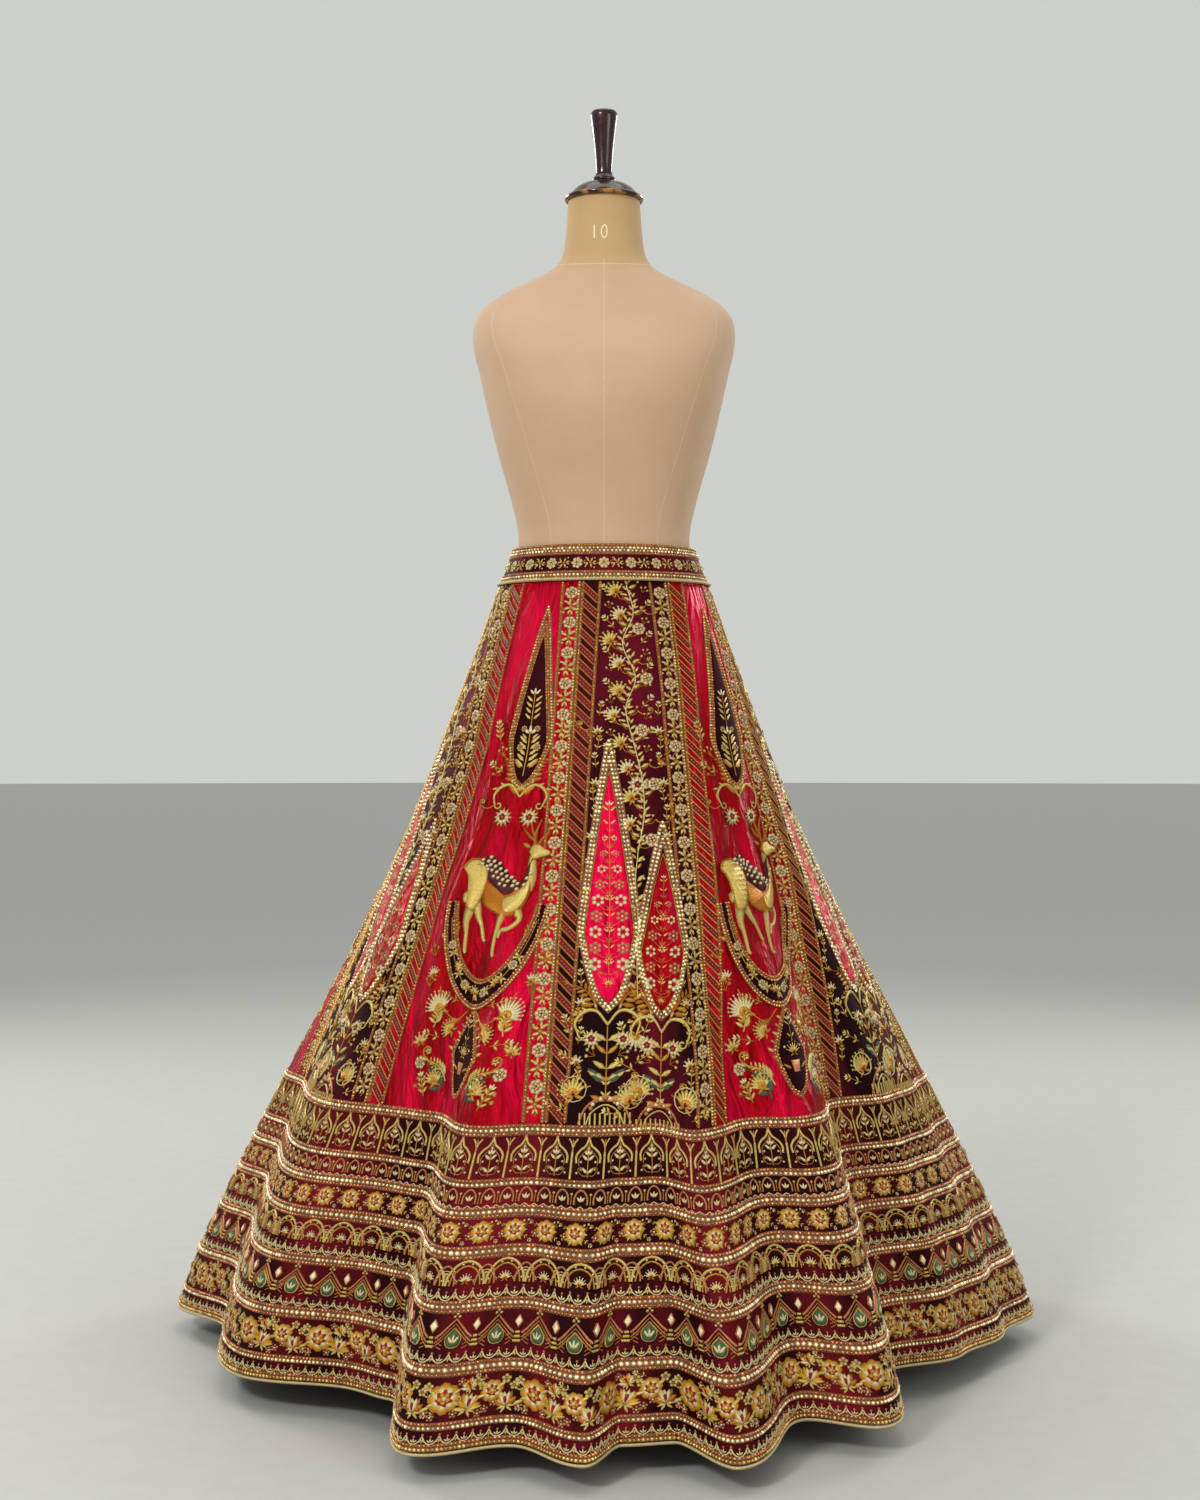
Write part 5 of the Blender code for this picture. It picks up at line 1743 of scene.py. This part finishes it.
def make_crescent(number, material, shift):
    """A crescent patch, sewn on."""
    outer_edge = crescent_edge(CRESCENT_HALF_WIDTH, CRESCENT_DEPTH)
    inner_edge = crescent_edge(CRESCENT_INSIDE, CRESCENT_DEPTH - CRESCENT_BAND)
    blend = np.linspace(0, 1, 6)[:, None, None]
    flat = outer_edge[None] * blend + inner_edge[None] * (1 - blend)
    name = f"velvet_crescent_{number + 1}"
    x, y = flat[..., 0] + shift, flat[..., 1]
    obj = cloth_shell(name + "_cloth", number, 0.5, -y, PATCH_LIFT, PATCH_WALL, False, x)
    finish_piece(obj, material, [name])
    edge = np.vstack([outer_edge, inner_edge[::-1]])
    ahead = np.roll(edge, -1, axis=0)
    area = abs(float(np.sum(edge[:, 0] * ahead[:, 1] - edge[:, 1] * ahead[:, 0]))) / 2
    return obj, (2 * CRESCENT_HALF_WIDTH, CRESCENT_DEPTH, area)


def dress_satin(trim, colours, kali):
    """The thread work, beads and patches of a red kali."""
    shift, number = kali.shift, trim.number
    trim.lay(satin_field(), across=shift)
    dark = velvet_finish("Patch velvet", colours.velvet, colours.velvet_light, 0.8, 0.30)
    patches = [make_drop(number, patch, dark, shift) for patch in (VELVET_DROP, VELVET_LOZENGE)]
    patches.append(make_crescent(number, dark, shift))
    for sketch in (drop_spray(), lozenge_vase(), crescent_vine()):
        trim.lay(sketch, across=shift, lift=PATCH_LIFT)
    for patch, rows in ((VELVET_DROP, DROP_BEADS), (VELVET_LOZENGE, LOZENGE_BEADS)):
        for half, top, foot, thread, size in rows:
            trim.loop_row(drop_outline(patch, half, top, foot), thread, size, shift)
    for reach, deep, outwards in (
        (CRESCENT_HALF_WIDTH, CRESCENT_DEPTH, 1),
        (CRESCENT_INSIDE, CRESCENT_DEPTH - CRESCENT_BAND, -1),
    ):
        for off, thread, size in ((0.001, "copper", 1.2), (0.005, "pale" if outwards > 0 else "gold", 0.9)):
            edge = crescent_edge(reach + outwards * off, deep + outwards * off, 60)
            trim.bead_row(edge[:, 0] + shift, -edge[:, 1], thread, size, lift=0.0012)
    return patches


def dress_velvet(trim, sizes, colours):
    """The thread work, beads and patches of a dark kali."""
    trim.lay(velvet_field())
    gap = sizes.strip_width + 0.009
    trim.lay(side_sprigs(), 0, gap, even=True)
    trim.lay(side_sprigs(), 1, -gap, even=True)
    # Both insets take the satin's painted highlight colour
    insets = satin_finish("Pink satin", colours.inset, colours.satin_light), kali_finish(colours, "satin")
    patches = []
    for patch, inset in zip(SATIN_DROPS, insets):
        patches.append(make_drop(trim.number, patch, inset, 0.0))
        trim.lay(drop_plant(patch), lift=PATCH_LIFT)
        trim.lay(Sketch().stroke(closed(drop_outline(patch, 0.0008, 0.004, 0.001)), 0.0014, "gold", 0.0014))
        for half, top, foot, thread, size in SATIN_DROP_BEADS:
            trim.loop_row(drop_outline(patch, half, top, foot), thread, size, 0.0)
    return patches


def make_kali(context, number):
    """A kali with its patches, thread work and beads."""
    sizes, colours = settings_of(context)
    kali, bottom = KALIS[number], BORDER_DROP - EDGE_GAP
    share = np.linspace(0, 1, sizes.cloth_columns + 1)[None, :]
    share = share + 0.012 * np.sin(2 * math.pi * share)
    drops = np.linspace(0.0004, bottom, sizes.kali_rows + 1)[:, None]
    seam_gap = np.where(share < 0.5, 0.0002, -0.0002) * (np.abs(share - 0.5) > 0.499)
    stem, slot = f"kali_{number + 1}", f"kali_{kali.cloth}"
    name = f"{stem}_{kali.cloth}"
    cloth = cloth_shell(name + "_cloth", number, share, drops, across=seam_gap)
    finish_piece(cloth, kali_finish(colours, kali.cloth), [name])
    trim = Trimming(number, CLOTH.spread)
    seam_strips(trim, sizes, bottom)
    satin = kali.cloth == "satin"
    patches = dress_satin(trim, colours, kali) if satin else dress_velvet(trim, sizes, colours)
    extras = trim.finish(context, stem, slot, sizes.fine_pitch, sizes.fine_radius)


def make_border(context, number):
    """The border section under a kali, with its rows of thread work and beads."""
    sizes, colours = settings_of(context)
    share = np.linspace(0, 1, sizes.cloth_columns + 1)[None, :]
    drops = np.linspace(BORDER_DROP + EDGE_GAP, SLANT, sizes.border_rows + 1)[:, None]
    name = f"hem_border_{number + 1}"
    cloth = cloth_shell(name + "_cloth", number, share, drops, wall=CLOTH_WALL * 1.2)
    finish_piece(cloth, wine_finish(colours), [name])
    trim = Trimming(number, CLOTH.spread)
    for top, bottom, spacing, motif in MOTIF_ROWS:
        middle = BORDER_DROP + (top + bottom) / 2
        width = float(CLOTH.width(number, middle))
        count = max(1, round(width / spacing))
        foot = middle if motif in CENTRED_MOTIFS else BORDER_DROP + bottom
        placed = Sketch().add(motif(spacing, bottom - top), 0, -foot, stretch=width / (count * spacing))
        for i in range(count):
            trim.lay(placed, (i + 0.5) / count, even=True)
    for offset, thread, size in BORDER_BEADS:
        trim.bead_row(0.0, BORDER_DROP + offset, thread, size, np.linspace(0.002, 0.998, 70), even=True)
    extras = trim.finish(context, name, "border_velvet", sizes.bead_pitch, sizes.bead_radius)


# ---------------- waistband and piping

# Half the waistband's width and depth at its top, and its roses' spacing and metres down
BAND_TOP_HALF = 0.1235, 0.0985
BAND_ROSE_SPACING, BAND_ROSE_DROP = 0.036, 0.0255
PIPING_CLEAR = 0.0008


class Band:
    """The waistband's outer face: metres round from the centre front, and down."""

    def __init__(self):
        self.turns = np.linspace(-180, 180, 721)
        run = run_of(self.point(self.turns, 0.5))
        self.length = float(run[-1])
        self.run = run - run[-1] / 2

    def point(self, angle, share):
        """A place on the band by angle and share of its height, from the bottom."""
        low = FLARES[0, 1], FLARES[0, 1] * FLARES[0, 2]
        half_width, half_depth = (a + share * (b - a) for a, b in zip(low, BAND_TOP_HALF))
        turn = np.radians(angle)
        parts = half_width * np.sin(turn), -half_depth * np.cos(turn), BAND_BOTTOM + share * BAND_HEIGHT
        return np.stack(np.broadcast_arrays(*parts), axis=-1)

    def spread(self, number, side, across, drop, lift=0.0, even=False):
        """Points and normals, as Cloth.spread gives them; number, side and even aren't needed."""
        across, drop, lift = np.broadcast_arrays(across, drop, lift)
        wrapped = (across + self.length / 2) % self.length - self.length / 2
        angle = np.interp(wrapped, self.run, self.turns)
        share = 1 - drop / BAND_HEIGHT
        around = self.point(angle + 0.2, share) - self.point(angle - 0.2, share)
        out = np.cross(around, self.point(angle, share + 0.02) - self.point(angle, share - 0.02))
        out /= np.linalg.norm(out, axis=-1, keepdims=True)
        return self.point(angle, share) + out * lift[..., None], out


def make_waistband(context):
    """The embroidered waistband and the piping under it."""
    sizes, colours = settings_of(context)
    band = Band()
    half = band.length / 2
    shares = np.linspace(1, 0.008, 9)[:, None]
    across = np.linspace(-half, half, 161)[:-1][None, :]
    drops = (1 - shares) * BAND_HEIGHT
    outer, out = band.spread(0, 0, across, drops, 0.0005 * np.sin(np.pi * shares))
    uv = np.stack(np.broadcast_arrays(across, -drops), axis=-1)
    obj = grid_shell("waistband_cloth", outer, outer - out * 0.0020, uv, ring=True)
    finish_piece(obj, wine_finish(colours), ["waistband"])

    trim = Trimming(0, band.spread)
    count = round(band.length / BAND_ROSE_SPACING)
    pitch = band.length / count
    bloom = rose(0.0082, "cream", "pale")
    leafy = vine_step(pitch * 0.6, 0.018, 1), vine_step(pitch * 0.6, 0.018, -1)
    for i in range(count):
        work = Sketch().add(bloom, 0, -BAND_ROSE_DROP, 20 * i)
        work.add(leafy[i % 2], pitch * 0.5, -BAND_ROSE_DROP, 90)
        trim.lay(work, across=i * pitch)
    for drop, thread, size in BAND_BEADS:
        trim.bead_row(np.linspace(-half, half, 200), drop, thread, size, lift=0.0010)
    extras = trim.finish(context, "waistband", "border_velvet", sizes.fine_pitch, sizes.fine_radius)

    radius = sizes.piping_radius
    route = band.point(np.linspace(-180, 180, 361)[:-1], 0.0) + [0, 0, radius]
    out = route * [1, 1, 0] / np.linalg.norm(route[:, :2], axis=1, keepdims=True)
    make_piping(context, "waistband_piping", route + out * (radius + PIPING_CLEAR))


def make_hem_piping(context):
    """The cord that binds the hem."""
    route = CLOTH.point(CLOTH.angle_at(np.linspace(0, 1, 1201)[:-1], np.ones(1200)), 1.0)
    radius = context.scene.lehenga_sizes.piping_radius
    make_piping(context, "hem_piping", route - [0, 0, radius + PIPING_CLEAR])


def make_piping(context, name, route):
    """A piping cord round a ring of points."""
    cord = tube(name + "_cord", route, context.scene.lehenga_sizes.piping_radius)
    finish_piece(cord, cord_finish("Piping cord", context.scene.lehenga_colours.piping), [name])


# ---------------- dress form

# The form from the bottom up, as (height, half width, front, back, squareness)
FORM_SECTIONS = (
    (0.800, 0.158, 0.100, 0.112, 2.20), (0.830, 0.165, 0.107, 0.120, 2.20), (0.880, 0.167, 0.111, 0.127, 2.20),
    (0.940, 0.158, 0.108, 0.121, 2.15), (1.000, 0.142, 0.104, 0.108, 2.05), (1.030, 0.1335, 0.103, 0.103, 2.00),
    (1.055, 0.124, 0.098, 0.098, 2.00), (1.080, 0.1175, 0.093, 0.093, 2.00), (1.110, 0.118, 0.093, 0.092, 2.00),
    (1.160, 0.130, 0.102, 0.096, 2.10), (1.220, 0.147, 0.119, 0.102, 2.20), (1.275, 0.160, 0.130, 0.108, 2.30),
    (1.320, 0.170, 0.124, 0.112, 2.40), (1.355, 0.178, 0.108, 0.112, 2.50), (1.385, 0.178, 0.090, 0.104, 2.50),
    (1.408, 0.166, 0.074, 0.092, 2.40), (1.428, 0.140, 0.062, 0.078, 2.20), (1.446, 0.104, 0.054, 0.066, 2.10),
    (1.462, 0.073, 0.050, 0.057, 2.00), (1.480, 0.058, 0.048, 0.051, 2.00), (1.510, 0.0525, 0.047, 0.048, 2.00),
    (1.5575, 0.049, 0.047, 0.047, 2.00),
)
NECK_TOP = FORM_SECTIONS[-1][0]
NECK_RADIUS = 0.0525
NUMBER_HEIGHT = 1.5065
# Heights of the form's seams, and their widths
SEAM_FOOT, SEAM_TOP = 0.84, 1.468
PRINCESS_TOP, SIDE_TOP, NECK_SEAM, ARMHOLE = 1.444, 1.345, 1.470, 1.372
SEAM_WIDTH, ROUND_SEAM_WIDTH = 0.0012, 0.0014
# Turned profiles, as (radius, height)
CAP_PROFILE = (
    (0.0527, 0.0), (0.0540, 0.002), (0.0535, 0.005), (0.0480, 0.0075), (0.0440, 0.012),
    (0.0370, 0.0185), (0.0260, 0.024), (0.0170, 0.0265), (0.0150, 0.0275),
)
FINIAL_PROFILE = (
    (0.0160, 0.0), (0.0162, 0.003), (0.0130, 0.0065), (0.0112, 0.011), (0.0118, 0.025), (0.0135, 0.045),
    (0.0160, 0.067), (0.0185, 0.085), (0.0186, 0.091), (0.0160, 0.0955), (0.0080, 0.097),
)
FORM_ROWS = through(FORM_SECTIONS, 4)


def form_point(angle, height):
    """A place on the dress form's cover."""
    angle, height = np.broadcast_arrays(np.asarray(angle, float), np.asarray(height, float))
    measures = (np.interp(height, FORM_ROWS[:, 0], FORM_ROWS[:, i]) for i in (1, 2, 3, 4))
    half_width, front, back, square = measures
    side, ahead = np.sin(np.radians(angle)), np.cos(np.radians(angle))
    x = half_width * np.sign(side) * np.abs(side) ** (2 / square)
    y = -np.where(ahead > 0, front, back) * np.sign(ahead) * np.abs(ahead) ** (2 / square)
    return np.stack([x, y, height], axis=-1)


def form_normal(angle, height):
    """Straight out of the form's cover."""
    around = form_point(angle + 0.5, height) - form_point(angle - 0.5, height)
    out = np.cross(around, form_point(angle, height + 0.002) - form_point(angle, height - 0.002))
    return out / np.maximum(1e-9, np.linalg.norm(out, axis=-1, keepdims=True))


def make_form(context):
    """The cover, its seams and size number, the turned cap and finial, and a finish for the stand."""
    colours = context.scene.lehenga_colours
    heights = np.unique(np.concatenate([FORM_ROWS[:, 0], np.linspace(1.08, 1.45, 50)]))
    cover = loft("form_torso_cover", form_point(np.linspace(0, 360, 121)[:-1][None, :], heights[:, None]))
    cotton = cover_finish("Form cotton", colours.cover, colours.cover_tan)
    finish_piece(cover, cotton, ["form_torso"])

    up = np.linspace(SEAM_FOOT, SEAM_TOP, 90)
    share = (up - SEAM_FOOT) / (SEAM_TOP - SEAM_FOOT)
    around, ring = np.linspace(0, 360, 121), np.linspace(0, 2 * math.pi, 61)
    lines = [(0 * up + side, up, SEAM_WIDTH) for side in (0, 180)]
    for start, end in ((34, 62), (146, 118), (-34, -62), (-146, -118)):
        lines.append((start + (end - start) * share**2.2, np.minimum(up, PRINCESS_TOP), SEAM_WIDTH))
    lines += [(0 * up + side, np.linspace(SEAM_FOOT, SIDE_TOP, 90), SEAM_WIDTH) for side in (90, 270)]
    lines.append((around, NECK_SEAM + 0.008 * np.cos(np.radians(around + 180)), ROUND_SEAM_WIDTH))
    for side in (1, -1):
        armhole = 90 * side + 17 * np.sin(ring) * side, ARMHOLE + 0.040 * np.cos(ring)
        lines.append((*armhole, ROUND_SEAM_WIDTH))
    seams = Pile()
    for angles, levels, width in lines:
        tape, faces, stitches = ribbon(form_point(angles, levels), form_normal(angles, levels), width, 0.0003)
        seams.pile(tape, faces, np.zeros(len(tape)), stitches)
    points, faces, _, _ = seams.parts()
    seams = new_mesh("form_seams", points, faces.tolist())
    finish_piece(seams, painted_finish("Seam thread", tone("#d2b69a")))

    digits = Sketch()
    digits.stroke([(-0.0075, 0.009), (-0.0075, 0.0), (-0.0070, -0.009)], 0.0016, "cream", 0.0004)
    zero = np.array([(6.5, 9), (3, 4), (3, -5), (6.5, -9), (9.5, -4), (9.5, 5), (6.5, 9)]) * MM
    digits.stroke(through(zero, 4), 0.0015, "cream", 0.0004)
    flat, faces, _, _ = digits.parts()
    spot = np.degrees((flat[:, 0] - 0.006) / NECK_RADIUS), NUMBER_HEIGHT + flat[:, 1]
    spots = form_point(*spot) + form_normal(*spot) * (flat[:, 2:] + 0.0002)
    number = new_mesh("form_size_number", spots, faces.tolist())
    finish_piece(number, painted_finish("Number paint", tone("#f4ecc9")))

    wood = wood_finish("Polished mahogany", colours.mahogany, colours.gold)
    cap = lathe("form_cap_turned", CAP_PROFILE, NECK_TOP + 0.0003)
    finish_piece(cap, wood, ["form_neck_cap"])
    finial = lathe("form_finial_turned", FINIAL_PROFILE, NECK_TOP + CAP_PROFILE[-1][1] + 0.0006)
    finish_piece(finial, wood, ["form_finial"])
    for name in ("form_pole", "form_base"):
        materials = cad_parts[name].data.materials
        materials.clear()
        materials.append(painted_finish("Black steel", tone("#2a2a2c")))


# ---------------- stage

FLOOR_REACH = 60
# Where the lights point, and each light as (name, place, watts, size)
LIT_SPOT = np.array([0, 0, 0.85])
LIGHTS = (
    ("key", (-1.9, -3.1, 2.8), 60, 0.7),
    ("fill", (2.6, -2.8, 1.5), 20, 1.6),
    ("low", (0.3, -3.6, 0.6), 6, 1.4),
    ("back_left", (-2.6, 2.6, 2.4), 40, 1.0),
    ("back_right", (2.6, 2.8, 2.2), 34, 1.0),
    ("top", (0, 0.2, 3.8), 16, 2.0),
)


def place_data(context, name, data, spot, turn):
    """A lamp or camera at a spot, turned."""
    obj = bpy.data.objects.new(name, data)
    obj.location, obj.rotation_euler = spot, turn
    context.scene.collection.objects.link(obj)
    return obj


def make_stage(context):
    """A pale floor, soft lights and the camera."""
    turns = np.linspace(0, 2 * math.pi, 64, endpoint=False)
    points = [(FLOOR_REACH * math.cos(t), FLOOR_REACH * math.sin(t), 0) for t in turns]
    floor = new_mesh("floor", points + [(0, 0, 0)], [(i, (i + 1) % 64, 64) for i in range(64)])
    floor.data.materials.append(painted_finish("Floor paint", tone("#bdbdb8")))

    scene = context.scene
    scene.world = bpy.data.worlds.new("Studio")
    scene.world.use_nodes = True
    back = scene.world.node_tree.nodes["Background"]
    back.inputs[0].default_value = (*tone("#e2e4e0"), 1)
    back.inputs[1].default_value = 0.70
    scene.view_settings.view_transform = "Standard"
    scene.view_settings.look = "Medium High Contrast"
    for name, spot, power, size in LIGHTS:
        lamp = bpy.data.lights.new(name, "AREA")
        lamp.energy, lamp.size = power, size
        x, y, z = np.array(spot) - LIT_SPOT
        turn = math.atan2(math.hypot(x, y), z), 0, math.atan2(y, x) + math.pi / 2
        place_data(context, name, lamp, spot, turn)
    camera = bpy.data.cameras.new("camera")
    camera.lens, camera.sensor_width = 52.56, 36
    camera.shift_x, camera.shift_y = -0.0027, 0.0033
    scene.camera = place_data(context, "camera", camera, (0, -3.0, 0.80), (math.pi / 2, 0, 0))


# ---------------- operators and panel


class LEHENGA_OT_form(Operator):
    """Build the dress form, its cap and finial, and give its stand a finish"""

    bl_idname = "lehenga.form"
    bl_label = "Dress Form"
    bl_options = {"REGISTER", "UNDO"}

    def execute(self, context):
        make_form(context)
        return {"FINISHED"}


class LEHENGA_OT_waistband(Operator):
    """Build the waistband and its piping"""

    bl_idname = "lehenga.waistband"
    bl_label = "Waistband"
    bl_options = {"REGISTER", "UNDO"}

    def execute(self, context):
        make_waistband(context)
        return {"FINISHED"}


class LEHENGA_OT_kalis(Operator):
    """Build the ten kalis with their patches and embroidery"""

    bl_idname = "lehenga.kalis"
    bl_label = "Kalis"
    bl_options = {"REGISTER", "UNDO"}

    def execute(self, context):
        for number in range(len(KALIS)):
            make_kali(context, number)
        return {"FINISHED"}


class LEHENGA_OT_border(Operator):
    """Build the hem border's ten sections and the hem piping"""

    bl_idname = "lehenga.border"
    bl_label = "Hem Border"
    bl_options = {"REGISTER", "UNDO"}

    def execute(self, context):
        for number in range(len(KALIS)):
            make_border(context, number)
        make_hem_piping(context)
        return {"FINISHED"}


class LEHENGA_OT_stage(Operator):
    """Build the floor, lights and camera"""

    bl_idname = "lehenga.stage"
    bl_label = "Stage"
    bl_options = {"REGISTER", "UNDO"}

    def execute(self, context):
        make_stage(context)
        return {"FINISHED"}


OPERATORS = (LEHENGA_OT_form, LEHENGA_OT_waistband, LEHENGA_OT_kalis, LEHENGA_OT_border, LEHENGA_OT_stage)


class LEHENGA_PT_panel(Panel):
    """Sizes, colours and pieces of the lehenga skirt"""

    bl_idname = "LEHENGA_PT_panel"
    bl_label = "Lehenga Skirt"
    bl_space_type = "VIEW_3D"
    bl_region_type = "UI"
    bl_category = "Lehenga"

    def draw(self, context):
        scene = context.scene
        for operator in OPERATORS:
            self.layout.operator(operator.bl_idname)
        for title, settings in (("Sizes", scene.lehenga_sizes), ("Colours", scene.lehenga_colours)):
            box = self.layout.box()
            box.label(text=title)
            for name in settings.__annotations__:
                box.prop(settings, name)


CLASSES = (LehengaSizes, LehengaColours, *OPERATORS, LEHENGA_PT_panel)


def register():
    """Add the classes and the scene's settings."""
    for cls in CLASSES:
        bpy.utils.register_class(cls)
    bpy.types.Scene.lehenga_sizes = PointerProperty(type=LehengaSizes)
    bpy.types.Scene.lehenga_colours = PointerProperty(type=LehengaColours)


def unregister():
    """Remove them again."""
    del bpy.types.Scene.lehenga_colours
    del bpy.types.Scene.lehenga_sizes
    for cls in reversed(CLASSES):
        bpy.utils.unregister_class(cls)


def main():
    """Build every piece in order."""
    register()
    bpy.ops.lehenga.form()
    bpy.ops.lehenga.waistband()
    bpy.ops.lehenga.kalis()
    bpy.ops.lehenga.border()
    bpy.ops.lehenga.stage()


if __name__ == "__main__":
    main()
